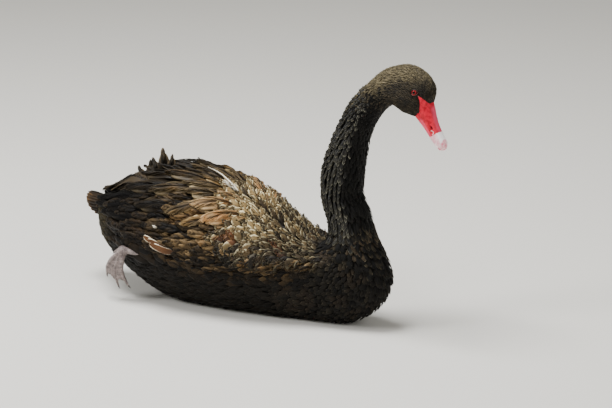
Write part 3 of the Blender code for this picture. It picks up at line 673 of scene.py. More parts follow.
def shapeHead(point):
    # eye sockets sunk by depth exp(-(r/r0)^6), a brow above each, and the lore hollowed in front of it
    for side in (1, -1):
        flip = np.array((1, side, 1))
        offset = (point - eye["centre"] * flip) * flip
        a, b, out = offset @ eyeAcross, offset @ eyeUp, offset @ eye["facing"]
        near = out > -0.012
        r = np.hypot(a / 1.10, b / 0.95)
        sink = np.where(near, np.exp(-(r / eye["socket"]) ** 6), 0.0)
        brow = np.where(near, np.exp(-((a / 0.009) ** 2 + ((b - 0.0085) / 0.0030) ** 2)), 0.0)
        along = (point - billRoot) @ billAxis
        rise = (point - billRoot) @ billCross
        hollow = np.where(point[..., 1] * side > 0.004,
                          np.exp(-(((along + 0.012) / 0.010) ** 2 + ((rise - 0.012) / 0.005) ** 2)), 0.0)
        move = eye["brow"] * brow - eye["hollow"] * hollow - eye["depth"] * sink
        point = point + (eye["facing"] * flip) * move[..., None]
    return point


def skinPoints(place, turn):
    point = bodySurface(place, turn, -coatDepth(place))
    return np.where((place > neckTopPlace)[..., None], shapeHead(point), point)


skinPlaces = np.concatenate([np.linspace(0, neckBasePlace, 110)[:-1],
                             np.linspace(neckBasePlace, neckTopPlace, 90)[:-1],
                             np.linspace(neckTopPlace, bodyEnd, 130)])
skinColumns = 176
skinTurns = (np.arange(skinColumns) + 0.5) * 2 * math.pi / skinColumns
skin = tubeMesh("skin", skinPoints(*np.meshgrid(skinPlaces, skinTurns, indexing="ij")))
placeOut, turnOut = np.meshgrid(skinPlaces / bodyEnd, skinTurns / (2 * math.pi), indexing="ij")
keepMap(skin, "OFBake", np.stack([0.02 + 0.95 * turnOut, 0.02 + 0.95 * placeOut], -1).reshape(-1, 2))
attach(skin, "root")
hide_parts("torso", "neck_lower", "neck_upper", "head")


def billFrame(finish, spot):
    # the places along the bill's axis and over it
    fromRoot = finish.node("ShaderNodeVectorMath", {"operation": "SUBTRACT"},
                           {0: spot, 1: tuple(float(v) for v in billRoot)}, vector=True)
    return finish.toward(fromRoot, billAxis), finish.toward(fromRoot, billCross)


skinLook = {"body": tint(18, 15, 12), "neck": tint(9, 8, 8), "crown": tint(84, 76, 60),
            "face": tint(32, 28, 22), "lore": tint(214, 5, 48), "loreDark": tint(168, 3, 28)}
finish = Finish("swanSkin", Roughness=0.62, Specular_IOR_Level=0.22)
spot = finish.place()
alongBill, overBill = billFrame(finish, spot)
x, y, z = finish.apart(spot)
edgeNoise = finish.noise(spot, 900.0, 2.0) * 0.0016 - 0.0008
above = overBill - edgeHeight("cheek", alongBill)
below = edgeHeight("brow", alongBill) - overBill
bare = above.least(below.most(alongBill + lore["tip"]))
red = (bare + edgeNoise).rise(-0.0002, 0.0003) * x.rise(0.372, 0.376)
crown = (z - 0.43).rise(-0.012, 0.016) * x.rise(0.28, 0.33)
velvet = finish.noise(spot, 260.0, 4.0, 0.7)
pore = finish.noise(spot, 1500.0, 2.0)
feathered = finish.blend(skinLook["body"], skinLook["neck"], z.rise(0.14, 0.24))
feathered = finish.blend(feathered, skinLook["face"], x.rise(0.31, 0.35) * z.rise(0.30, 0.36))
feathered = finish.blend(feathered, skinLook["crown"], crown * (0.4 + velvet))
feathered = finish.blend(tint(6, 6, 6), feathered, 0.55 + 0.5 * velvet)
cloud = finish.noise(spot, 190.0, 3.0)
loreTint = finish.blend(skinLook["loreDark"], skinLook["lore"], cloud.rise(0.32, 0.62))
corner = 1 - (alongBill + 0.0245 + (velvet - 0.5) * 0.002).rise(0.0, 0.0035)
loreTint = finish.blend(loreTint, tint(226, 150, 146), corner)
finish.feed("Base Color", finish.blend(feathered, loreTint, red))
finish.feed("Roughness", 0.80 - 0.38 * red)
finish.bump(velvet * (1 - red) + pore * 0.35, 0.5, 0.0006)
finish.on(skin)
print("skin", len(skin.data.polygons), "faces")


# bill
def billPoints(place, angle, upper=True, inset=1.0):
    # D-shaped rings: y = half |cos a|^0.8, rise = mouth + |sin a|^0.9 (reach - mouth), with a lip along the
    # mouth, hollows beside the ridge, a sunk nostril with its rim, and a raised nail
    row = readRows(bill["rows"][:, 1:], bill["rows"][:, 0], place)
    c, s = np.cos(angle), np.sin(angle)
    half, mouth = row[..., 0] * inset, row[..., 2] - (0 if upper else 0.0003)
    reach = row[..., 1] if upper else row[..., 3]
    y = signedPower(c, 0.8) * half
    rise = mouth + np.abs(s) ** 0.9 * (reach - mouth)
    out = np.stack([np.zeros_like(c), c / half, s / np.abs(reach - mouth) * (1 if upper else -1)], -1)
    out /= np.linalg.norm(out, axis=-1)[..., None]
    high = (rise - mouth) / np.abs(reach - mouth)
    move = 0.00045 * np.exp(-((high - 0.04) / 0.05) ** 2) - 0.00045 * np.exp(-((high - 0.17) / 0.07) ** 2)
    if upper:
        fade = np.clip((bill["bandStart"] - place) / 0.03, 0, 1)
        move = move - 0.0009 * fade * np.exp(-((high - 0.72) / 0.13) ** 2)
        across = (place - bill["nostril"]) / 0.0046
        up = (rise - 0.0040 - 0.12 * (place - bill["nostril"])) / 0.0014
        hole = np.exp(-(across ** 2 + up ** 2) ** 2)
        rim = np.exp(-((np.hypot(across, up) - 1.35) / 0.28) ** 2)
        move = move - 0.0021 * hole + 0.00035 * rim
        nail = np.clip((place - bill["nailStart"]) / 0.0012, 0, 1) * (np.abs(y) < half * 0.72)
        move = move + 0.0003 * nail
    else:
        move = move * 0.4
    y, rise = y + out[..., 1] * move, rise + out[..., 2] * move
    return (billRoot + billAxis * place[..., None] + y[..., None] * np.array((0, 1.0, 0))
            + rise[..., None] * billUp)


def billPiece(name, upper, length, inset):
    dense = 0.006                  # the rings draw together over this end of it
    places = np.concatenate([np.linspace(-0.0012, length - dense, 96)[:-1],
                             length - dense * np.cos(np.linspace(0, math.pi / 2, 16))])
    place, angle = np.meshgrid(places, np.linspace(0, math.pi, 97), indexing="ij")
    outer = billPoints(place, angle, upper, inset)
    middle, left = outer.mean(1, keepdims=True), (length - place)[..., None]
    share = 0.12 + 0.88 * np.sqrt(np.clip(left / bill["tipRound"], 0.0, 1.0))
    outer = np.where(place[..., None] > length - bill["tipRound"], middle + (outer - middle) * share, outer)
    flat = outer[:, :1] + (outer[:, -1:] - outer[:, :1]) * np.linspace(0, 1, 12)[None, 1:-1, None]
    rings = np.concatenate([outer, flat[:, ::-1]], 1)
    made = tubeMesh(name, rings, flip=upper)
    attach(made, "root")
    return made


billUpper = billPiece("upper_bill", True, 0.0730, 1.0)
billLower = billPiece("lower_bill", False, 0.0640, 0.93)
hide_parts("bill_upper")
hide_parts("bill_lower")

# the pale pink for the ridge is a painted highlight along the lit top of the bill
billLook = {"red": tint(214, 5, 48), "deep": tint(168, 3, 28), "ridge": tint(238, 84, 120),
            "lip": tint(240, 84, 116), "band": tint(255, 250, 250), "nail": tint(222, 104, 132),
            "worn": tint(250, 214, 216), "hole": tint(60, 4, 8)}
finish = Finish("billRed", Roughness=0.34, Specular_IOR_Level=0.28)
spot = finish.place()
along, over = billFrame(finish, spot)
side = abs(finish.apart(spot)[1])                      # distance from the middle plane
cloud = finish.noise(spot, 190.0, 3.0)
colour = finish.blend(billLook["deep"], billLook["red"], cloud.rise(0.32, 0.62))
ridgeLine = 0.0155 - along * 0.155                     # height of the ridge over the axis
# painted highlight, pale pink, along the lit ridge of the bill
ridge = (over - ridgeLine).rise(-0.0045, 0.0005) * (1 - side.rise(0.003, 0.0085)) * along.rise(-0.002, 0.006)
colour = finish.blend(colour, billLook["ridge"], ridge * 0.60)
lip = (1 - (over + 0.0035 - along * 0.012).rise(0.0, 0.0016)) * along.rise(0.006, 0.016)
colour = finish.blend(colour, billLook["lip"], lip * 0.7)
scratchA, scratchB = along - 0.0385, over - 0.0012
scratch = abs((scratchA * scratchA + scratchB * scratchB * 1.6) ** 0.5 - 0.0032)
scratch = (1 - scratch.rise(0.0003, 0.0010)) * (scratchB + (cloud - 0.5) * 0.004).rise(-0.0016, 0.0004)
colour = finish.blend(colour, billLook["worn"], scratch * 0.8)
wobble = (cloud - 0.5) * 0.003
band = (along + wobble).rise(bill["bandStart"] - 0.0005, bill["bandStart"] + 0.0010)
colour = finish.blend(colour, billLook["band"], band)
nailPart = along + wobble * 0.5 - side * side * 45.0
nailPart = nailPart.rise(bill["nailStart"] - 0.0015, bill["nailStart"] + 0.0015)
nailPart = nailPart.most(side.rise(0.0085, 0.0105) * band * 0.7)
nailTint = finish.blend(billLook["nail"], billLook["worn"], cloud.rise(0.3, 0.7))
colour = finish.blend(colour, nailTint, nailPart)
# painted shade inside the nostril, darker than its shallow sunk shape would show
nostril = ((along - bill["nostril"]) * (along - bill["nostril"]) * (1 / 0.0040 ** 2)
           + (over - 0.0040) * (over - 0.0040) * (1 / 0.0012 ** 2))
colour = finish.blend(billLook["hole"], colour, nostril.rise(0.4, 1.4))
finish.feed("Base Color", colour)
finish.feed("Roughness", 0.30 + 0.22 * cloud)
finish.bump(finish.noise(spot, 900.0, 3.0) + cloud, 0.25, 0.0004)
finish.on(billUpper, billLower)
print("bill", len(billUpper.data.polygons) + len(billLower.data.polygons), "faces")


# eyes
def eyePoint(across, up, ahead):
    return ahead[..., None] * eye["facing"] + across[..., None] * eyeAcross + up[..., None] * eyeUp


def eyeBall(name, flip):
    # a sphere whose front bulges by exp(-(angle / 0.62)^4) as the clear cornea does
    polar, turn = np.meshgrid(np.linspace(0.02, math.pi - 0.02, 40), np.arange(48) * 2 * math.pi / 48,
                              indexing="ij")
    radius = eye["radius"] * (1 + 0.05 * np.exp(-(polar / 0.62) ** 4))
    ahead, out = radius * np.cos(polar), radius * np.sin(polar)
    across, up = out * np.cos(turn), out * np.sin(turn)
    made = tubeMesh(name, (eye["centre"] + eyePoint(across, up, ahead)) * flip, flip=flip[1] < 0)
    keepVectors(made, "gaze", np.stack([across, up, ahead], -1).reshape(-1, 3) / eye["radius"])
    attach(made, "root")
    return made


def eyeLids(name, flip):
    # a ring of skin over the ball: from the opening's rounded edge out and down under the head's skin
    turn, t = np.meshgrid(np.arange(72) * 2 * math.pi / 72, np.linspace(0, 1, 15), indexing="ij")
    c, s = np.cos(turn), np.sin(turn)
    corner = 1 + 0.20 * np.exp(-((np.abs(turn - math.pi)) / 0.30) ** 2)       # drawn out towards the bill
    half = eye["half"] * np.abs(c) * corner
    opening = np.hypot(half, np.where(s > 0, eye["upper"], eye["lower"]) * np.abs(s))
    roll = np.clip(t / 0.25, 0, 1)
    out = opening + (eye["lids"] - opening) * np.clip((t - 0.12) / 0.88, 0, 1)
    shell = eye["radius"] + 0.0002 + 0.00085 * np.sin(roll * math.pi / 2)
    crease = 0.00025 * np.exp(-((t - 0.50) / 0.07) ** 2) + 0.0002 * np.exp(-((t - 0.70) / 0.06) ** 2)
    depth = np.sqrt(np.clip(shell ** 2 - np.minimum(out, shell * 0.985) ** 2, 0, None)) - crease
    depth = depth - np.clip(out - shell * 0.90, 0, None) * 0.9
    point = eyePoint(out * c, out * s, depth)
    under = point - 0.0009 * eye["facing"]
    rings = np.concatenate([point, under[:, ::-1]], 1)
    count, around = rings.shape[:2]
    points = ((eye["centre"] + rings) * flip).reshape(-1, 3)
    quads = gridQuads(count + 1, around, True) % len(points)
    made = fillMesh(name, points, quads if flip[1] > 0 else quads[:, ::-1])
    keepVectors(made, "lid", np.stack([np.concatenate([t, t[:, ::-1]], 1), np.concatenate([turn, turn], 1),
                                       np.zeros((count, around))], -1).reshape(-1, 3))
    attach(made, "root")
    return made


eyeFinish = Finish("redEye", Roughness=0.16, Specular_IOR_Level=0.18, Coat_Weight=0.10, Coat_Roughness=0.02)
gazeX, gazeY = eyeFinish.apart(eyeFinish.kept("gaze"))[:2]
reach = (gazeX * gazeX + gazeY * gazeY) ** 0.5
outward = eyeFinish.joined(gazeX / reach.most(0.05) * 6.0, gazeY / reach.most(0.05) * 6.0, reach * 1.2)
fibre = eyeFinish.noise(outward, 3.0, 3.0)
iris = eyeFinish.blend(tint(70, 5, 8), tint(158, 16, 22), fibre.rise(0.3, 0.7))
iris = eyeFinish.blend(iris, tint(48, 6, 8), reach.rise(0.58, 0.72))
iris = eyeFinish.blend(tint(5, 4, 4), iris, reach.rise(0.38, 0.43))
eyeFinish.feed("Base Color", eyeFinish.blend(iris, tint(30, 12, 12), reach.rise(0.74, 0.80)))

lidFinish = Finish("eyeLid", Roughness=0.72, Specular_IOR_Level=0.2)
lidShare, lidTurn = lidFinish.apart(lidFinish.kept("lid"))[:2]
grain = lidFinish.noise(lidFinish.place(), 1400.0, 3.0)
rim = lidFinish.blend(tint(132, 40, 42), tint(178, 96, 92), grain)
# the lids' edge is paler below and in front, between these turns round the eye
lowFront = (lidTurn - 2.4).rise(0.0, 0.5) * (1 - (lidTurn - 5.2).rise(0.0, 0.6))
rim = lidFinish.blend(tint(26, 20, 19), rim, lowFront * 0.8 + 0.12)
skinTone = lidFinish.blend(tint(16, 14, 12), tint(40, 35, 29), grain)
lidFinish.feed("Base Color", lidFinish.blend(rim, skinTone, lidShare.rise(0.13, 0.24)))
lidFinish.bump(grain, 0.5, 0.0004)

mirrors = (("left", np.array((1, 1, 1))), ("right", np.array((1, -1, 1))))
for side, flip in mirrors:
    ball = eyeBall("eyeball_" + side, flip)
    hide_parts("eye_" + side)
    eyeFinish.on(ball)
    lidFinish.on(eyeLids("lids_" + side, flip))
print("eyes and lids")


# small feathers of neck and head
neckCoat = {"columns": 36, "step": 0.0080, "from": neckBasePlace - 0.02, "to": neckTopPlace - 0.004,
            "length": curve((neckBasePlace, 0.019), (neckTopPlace - 0.06, 0.0155), (neckTopPlace, 0.011)),
            "crowd": 1.12}          # how far neighbours overlap
bodyMap = ((-0.02, 0.95), (0.0, 2 * math.pi))


def neckRoots():
    # columns at even shares of the girth, which wave as they climb by 0.10 sin(60 u) + 0.045 sin(130 u)
    rows = np.arange(neckCoat["from"], neckCoat["to"], neckCoat["step"])
    place, column = np.meshgrid(rows, np.arange(neckCoat["columns"]), indexing="ij")
    turn = (column + 0.5) * 2 * math.pi / neckCoat["columns"]
    turn = turn + 0.10 * np.sin(place * 60.0 + column * 0.7) + 0.045 * np.sin(place * 130.0 + column * 1.9)
    place = place + draw.uniform(-0.35, 0.35, place.shape) * neckCoat["step"] + (column % 2) * 0.004
    turn = turn + draw.uniform(-0.02, 0.02, place.shape)
    return place.ravel(), turn.ravel()


place, turn = neckRoots()
girth = bodySurface(place, turn + 0.01, 0.0) - bodySurface(place, turn - 0.01, 0.0)
girth = np.linalg.norm(girth, axis=1) / 0.02 * 2 * math.pi
width = np.clip(girth / neckCoat["columns"], 0.005, 0.014) * neckCoat["crowd"]
hind = np.clip(np.sin(turn) * 0.75 + 0.45, 0, 1)          # 1 on the nape and its sides, 0 on the throat
hind = hind * np.clip((place - neckBasePlace + 0.06) / 0.08, 0.35, 1)
ruff = draw.uniform(0, 1, len(place))
lifts = heights(-0.0040, -0.0016 + 0.0004 * hind, 0.0004 + (0.0008 + 0.0018 * ruff) * (0.15 + 0.85 * hind))
length = neckCoat["length"](place) * between(0.85, 1.15, len(place))
fore = (hind < between(0.02, 0.26, len(place))) | (place < neckBasePlace + between(-0.006, 0.022, len(place)))
for part, kind, name in ((~fore, "neck", "neck_feathers"), (fore, "throat", "foreneck_feathers")):
    tier(name, kind, bodySurface, place[part], turn[part], vane(6, 5, 0.55, 2.2, 0.6, 0.0005),
         bodyMap, "neck_feather", length=length[part], width=width[part], lifts=lifts[part],
         slant=between(-0.12, 0.12, part.sum()), camber=0.22 + 0.70 * hind[part],
         twist=between(-0.25, 0.25, part.sum()) * (0.3 + 0.7 * hind[part]))


# head: short tufts, longer and ruffled on the crown and hindneck, tiny round the eye and on the face
def onFace(place, turn):
    point = bodySurface(place, turn, 0.0)
    gap = np.ones(len(place))
    for side in (1, -1):
        offset = point - eye["centre"] * np.array((1, side, 1))
        gap = np.where(point[:, 1] * side > 0, np.linalg.norm(offset, axis=1) / 0.0076, gap)
    return (loreShare(point) < 0.3) & (gap > 1.0), np.clip(gap - 1, 0, 1)


# angle from the top, in degrees, down to which the head is pale at each place along the middle line
paleCap = curve((0.800, 78), (0.825, 83), (0.835, 78), (0.851, 70), (0.864, 63), (0.8745, 44), (0.8826, 27),
                (0.8883, 0))
headCoat = {"span": (neckTopPlace - 0.052, bodyEnd - 0.0005), "gaps": (0.0021, 0.0022),
            "length": 0.0042, "longer": 0.0068, "aspect": 0.33, "root": -0.0012, "middle": -0.0002}
place, turn = spreadRoots(bodySurface, headCoat["span"], (0, 2 * math.pi), *headCoat["gaps"])
free, away = onFace(place, turn)
place, turn, away = place[free], turn[free], away[free]
forward = np.clip((place - neckTopPlace + 0.03) / (bodyEnd - neckTopPlace + 0.03), 0, 1)
loose = np.clip(np.sin(turn) + 0.5, 0, 1) * np.clip(1.15 - 1.25 * forward, 0.12, 1) * away
length = (headCoat["length"] + headCoat["longer"] * loose) * draw.uniform(0.8, 1.25, len(place))
lifts = heights(headCoat["root"], headCoat["middle"],
                0.0001 + (0.0004 + 0.0022 * loose) * draw.uniform(0, 1, len(place)) ** 2)
offTop = np.degrees(np.abs((turn + math.pi / 2) % (2 * math.pi) - math.pi))
paleness = paleCap(place) - offTop + draw.normal(0, 7, len(place))
paleness -= 110 * np.clip((neckTopPlace + 0.020 - place) / 0.050, 0, 1) * draw.uniform(0, 1, len(place))
isCrown, isTemple = paleness > 7, abs(paleness) <= 7
isDark = (paleness < -7) & (forward < 0.60) & (draw.uniform(0, 1, len(place)) > forward * 1.6)
isFace = ~isCrown & ~isTemple & ~isDark
for part, kind, name in ((isCrown, "crown", "crown_tufts"), (isTemple, "temple", "temple_tufts"),
                         (isFace, "face", "face_tufts"), (isDark, "throat", "throat_tufts")):
    tier(name, kind, bodySurface, place[part], turn[part], vane(4, 3, 0.4, 1.6, 0.6, 0.00022, camber=0.3),
         bodyMap, "neck_feather", length=length[part], width=length[part] * headCoat["aspect"],
         lifts=lifts[part],
         slant=draw.uniform(-0.35, 0.35, part.sum()) * (0.4 + loose[part]),
         twist=draw.uniform(-0.3, 0.3, part.sum()))


# small feathers of the body
def wingCover(point):
    # height over the folded wing's lower edge, where there is one
    rear, front, lowerEdge = -0.20, 0.212, math.radians(-14.0)
    edge = wingSurface(np.clip(point[..., 0], rear, front), np.full(point.shape[:-1], lowerEdge), 0.0)
    return np.where((point[..., 0] > rear) & (point[..., 0] < front), point[..., 2] - edge[..., 2], -1.0)


def bodyFeathers(name, kind, span, gaps, sizes, aspect, rise, camber, chosen, sunk=-0.0060):
    # sizes is length by x, aspect the width's share of it, rise the most that a tip stands off
    place, turn = spreadRoots(bodySurface, span, (0, 2 * math.pi), *gaps)
    point = bodySurface(place, turn, 0.0)
    keep = (wingCover(point) < 0.012) & (point[:, 2] > 0.003) & chosen(point[:, 0], point[:, 2])
    place, turn, point = place[keep], turn[keep], point[keep]
    count = len(place)
    length = np.interp(point[:, 0], *sizes) * draw.uniform(0.8, 1.2, count)
    lifts = heights(sunk, sunk * 0.25, 0.0002 + rise * draw.uniform(0, 1, count) ** 1.5)
    tier(name, kind, bodySurface, place, turn, vane(6, 5, 0.55, 1.7, 0.5, 0.0004, camber=camber), bodyMap,
         length=length, width=length * aspect, lifts=lifts, slant=draw.uniform(-0.22, 0.22, count),
         twist=draw.uniform(-0.15, 0.15, count), ripple=0.0006, waves=1.5)


def onSide(x, z):
    # over an uneven line just under the water line
    return (x > -0.165) & (x < 0.195) & (z > 0.064 + between(-0.006, 0.006, len(x)))


def onBelly(x, z):
    return (x > -0.175) & (x < 0.160) & (z < 0.078)


def onBreast(x, z):
    return (x >= 0.150) & ((x > 0.185) | (z < 0.078))


bodyFeathers("side_feathers", "flank", (0.06, neckBasePlace), (0.0085, 0.0080),
             ((-0.20, 0.10, 0.25), (0.040, 0.034, 0.022)), 0.34, 0.0040, 0.22, onSide)
bodyFeathers("belly_feathers", "body", (0.004, neckBasePlace), (0.0085, 0.0085),
             ((-0.24, 0.10, 0.25), (0.036, 0.032, 0.024)), 0.36, 0.0022, 0.20, onBelly)
bodyFeathers("breast_feathers", "breast", (0.30, neckBasePlace + 0.020), (0.0060, 0.0066),
             ((0.12, 0.25), (0.019, 0.013)), 0.60, 0.0007, 0.20, onBreast, sunk=-0.0042)
for sideName in ("left", "right"):
    n = 60
    x = between(-0.125, -0.035, n)
    turn = np.radians(between(-14, 10, n))
    tier("thigh_feathers_" + sideName, "flank", bodySurface, np.interp(x, bodyRows[:11, 0], bodyPlace[:11]),
         turn if sideName == "left" else math.pi - turn, vane(8, 5, 0.5, 1.6, 0.5, 0.0005, camber=0.2),
         bodyMap, length=between(0.034, 0.050, n), width=between(0.012, 0.018, n),
         slant=between(-0.15, 0.15, n),
         lifts=heights(-0.005, 0.003 + np.interp(x, (-0.125, -0.05), (0.009, 0.004)) * between(0.7, 1.1, n),
                       np.interp(x, (-0.125, -0.05), (0.015, 0.008)) * between(0.7, 1.1, n)))
bodyFeathers("vent_feathers", "vent", (0.004, 0.20), (0.0080, 0.0080), ((-0.26, -0.15), (0.030, 0.036)),
             0.34, 0.0030, 0.20, lambda x, z: x <= -0.170)


# folded wings
def wingPad(name, surface, flip):
    # the wing's covered body: outer wall 6 to 16 mm under the feathers' surface, inner wall 9 mm further in
    x = np.linspace(-0.235, 0.244, 70)[:, None]
    low = -14.0 + 40.0 * np.clip((-0.15 - x) / 0.085, 0, 1) ** 2
    angle = np.radians(low + (87.5 - low) * np.linspace(0, 1, 40)[None, :])
    depth = 0.006 + 0.010 * np.clip((-0.16 - x) / 0.075, 0, 1)
    outer, inner = surface(x, angle, -depth), surface(x, angle, -depth - 0.009)
    made = tubeMesh(name, np.concatenate([outer, inner[:, ::-1]], 1), flip=flip)
    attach(made, "root")
    return made


wingMap = ((-0.32, 0.27), (-0.55, 1.75))
padLook = {"base": tint(12, 9, 6), "light": tint(34, 26, 17)}
padFinish = Finish("wingDown", Roughness=0.8)
down = padFinish.noise(padFinish.place(), 220.0, 4.0, 0.7)
padFinish.feed("Base Color", padFinish.blend(padLook["base"], padLook["light"], down.rise(0.3, 0.8)))
padFinish.bump(down, 0.6, 0.001)


def gridRoots(xs, degrees, loose):
    # a row of roots for each x, every other row shifted by half a step
    x, angle = np.meshgrid(xs, degrees, indexing="ij")
    stepX, stepAngle = xs[1] - xs[0], degrees[1] - degrees[0]
    angle = angle + (np.arange(len(xs)) % 2)[:, None] * stepAngle * 0.5
    x = x + draw.uniform(-loose, loose, x.shape) * stepX
    angle = angle + draw.uniform(-loose, loose, x.shape) * stepAngle
    return x.ravel(), np.radians(angle.ravel())


def wingTier(name, kind, surface, shape, roots):
    return tier(name, kind, surface, roots.pop("u"), roots.pop("v"), shape, wingMap, **roots)


# Silky feathers: a slimmer vane, whose arch follows the strands' own droop, under a fan of strands.
def silkyTier(name, kind, surface, base, strand, perSide, **roots):
    count = len(roots["u"])
    roots.setdefault("tone", draw.uniform(0, 1, count))
    roots.setdefault("phase", draw.uniform(0, 1, count))
    slimmer, shorter, sunk = 0.84, 0.95, 0.0008
    droop = roots["width"] * 0.5 * strand["droop"]
    under = dict(roots, lifts=roots["lifts"] - heights(droop * 0.2, droop + sunk, droop + sunk),
                 width=roots["width"] * slimmer, length=roots["length"] * shorter)
    wingTier(name, kind, surface, dict(base, camber=strand["droop"]), under)
    wingTier(name + "_strands", kind, surface, strand, strandRoots(surface, roots, strand, perSide))


# The large loose feathers of the back, in millimetres and degrees: x and angle of the root, length, width,
# slant (down is negative), height of the middle and of the tip, curl of the tip; tone.
scapularRows = np.array((
    (40, 86, 92, 42, -10, 1, 3, 0, 0.75), (32, 80, 100, 46, -25, 2, 5, 1, 0.60),
    (-6, 79, 96, 44, -16, 3, 6, 2, 0.55), (-12, 66, 100, 46, -26, 4, 9, 1, 0.75),
    (20, 55, 92, 42, -34, 3, 7, 1, 0.60), (-48, 72, 110, 44, -6, 4, 8, 2, 0.45),
    (-52, 55, 112, 46, -8, 4, 8, 2, 0.45), (-30, 42, 96, 42, -16, 3, 6, 1, 0.35),
    (46, 44, 76, 36, -30, 2, 5, 1, 0.60), (8, 88, 98, 48, -2, 3, 6, 0, 0.65),
    (42, 70, 90, 44, -22, 1, 4, 1, 0.50), (-75, 84, 90, 46, -6, 7, 10, 0, 0.55)))
# Paler tan ones that fall forwards over the shoulder.
tanRows = np.array((
    (62, 74, 98, 40, -38, 4, 9, 0, 0.60), (80, 70, 96, 44, -44, 6, 10, 0, 0.95),
    (72, 64, 78, 36, -40, 5, 8, 0, 0.80), (72, 80, 70, 34, -24, 3, 6, 1, 0.60)))
tertialRows = np.array((
    (-90, 34, 150, 44, 8, 3, 2, 0, 0.35), (-85, 21, 140, 42, 4, 2, 1, 0, 0.25),
    (-100, 64, 150, 46, 5, 5, 4, 0, 0.30), (-108, 78, 140, 44, 1, 4, 4, 0, 0.40),
    (-70, 10, 130, 38, 4, 2, 1, 1, 0.20), (-130, 55, 120, 42, 10, 0, 0, 1, 0.15),
    (-135, 40, 118, 42, 6, 0, 0, 1, 0.10), (-130, 26, 110, 38, 2, 0, 0, 1, 0.15),
    (-140, 72, 105, 40, 3, 1, 1, 1, 0.20), (-100, 88, 110, 50, -3, 4, 6, 0, 0.55),
    (-150, 87, 105, 48, -4, 2, 4, 0, 0.45)))
# The rearmost long ones, arched over a dark hollow.
archRows = np.array((
    (-98, 50, 172, 48, 18, 18, 8, -2, 0.85), (-112, 60, 150, 42, 13, 14, 8, 0, 0.60),
    (-92, 42, 150, 38, 20, 7, 2, 0, 0.40)))
# Feathers of the back that curl up.
ruffledRows = np.array((
    (-126, 75, 34, 20, 2, 5, 18, 2, 0.30), (-78, 80, 52, 30, -6, 6, 12, 3, 0.12),
    (-66, 84, 50, 30, -8, 5, 10, 3, 0.15), (-98, 84, 52, 30, -2, 4, 8, 2, 0.15),
    (-100, 68, 50, 26, -4, 4, 8, 2, 0.20)))


def rowRoots(rows, loose):
    count = len(rows)
    x, degrees, length, width, slant, middle, tip, curl, tone = rows.T
    return {"u": x / 1000 + between(-0.004, 0.004, count) * loose,
            "v": np.radians(degrees + between(-2, 2, count) * loose),
            "length": length / 1000 * between(1 - 0.06 * loose, 1 + 0.06 * loose, count),
            "width": width / 1000 * between(1 - 0.08 * loose, 1 + 0.08 * loose, count),
            "slant": np.radians(slant + between(-4, 4, count) * loose),
            "lifts": heights(-0.006, middle / 1000, tip / 1000), "curl": curl / 1000, "tone": tone}


rightWing = otherSide(wingSurface)
backVane = vane(20, 9, 0.60, 2.0, 0.42, 0.0007)
backStrand = vane(6, 3, 0.40, 1.6, 0.6, 0.0003, camber=0.45, cover=1.15, open=0.8, droop=0.16, stray=0.0015)
scaleVane = vane(7, 5, 0.60, 2.0, 0.55, 0.0005)
scaleFray = vane(4, 3, 0.4, 1.6, 0.6, 0.00025, camber=0.3, cover=0.75, open=0.9, droop=0.0, stray=0.0005,
                 inner=0.66, bow=0.30, past=1.2)
scaleCoat = {"span": (0.000, 0.240), "turns": np.radians((-14, 88)), "gaps": (0.0098, 0.0112),
             "length": 0.0232, "width": 0.0172,
             # x, degrees and reach of the places where they are rusty
             "rust": ((0.084, 26, 0.0125), (0.068, 28, 0.009), (0.152, 46, 0.007), (0.170, 30, 0.008))}

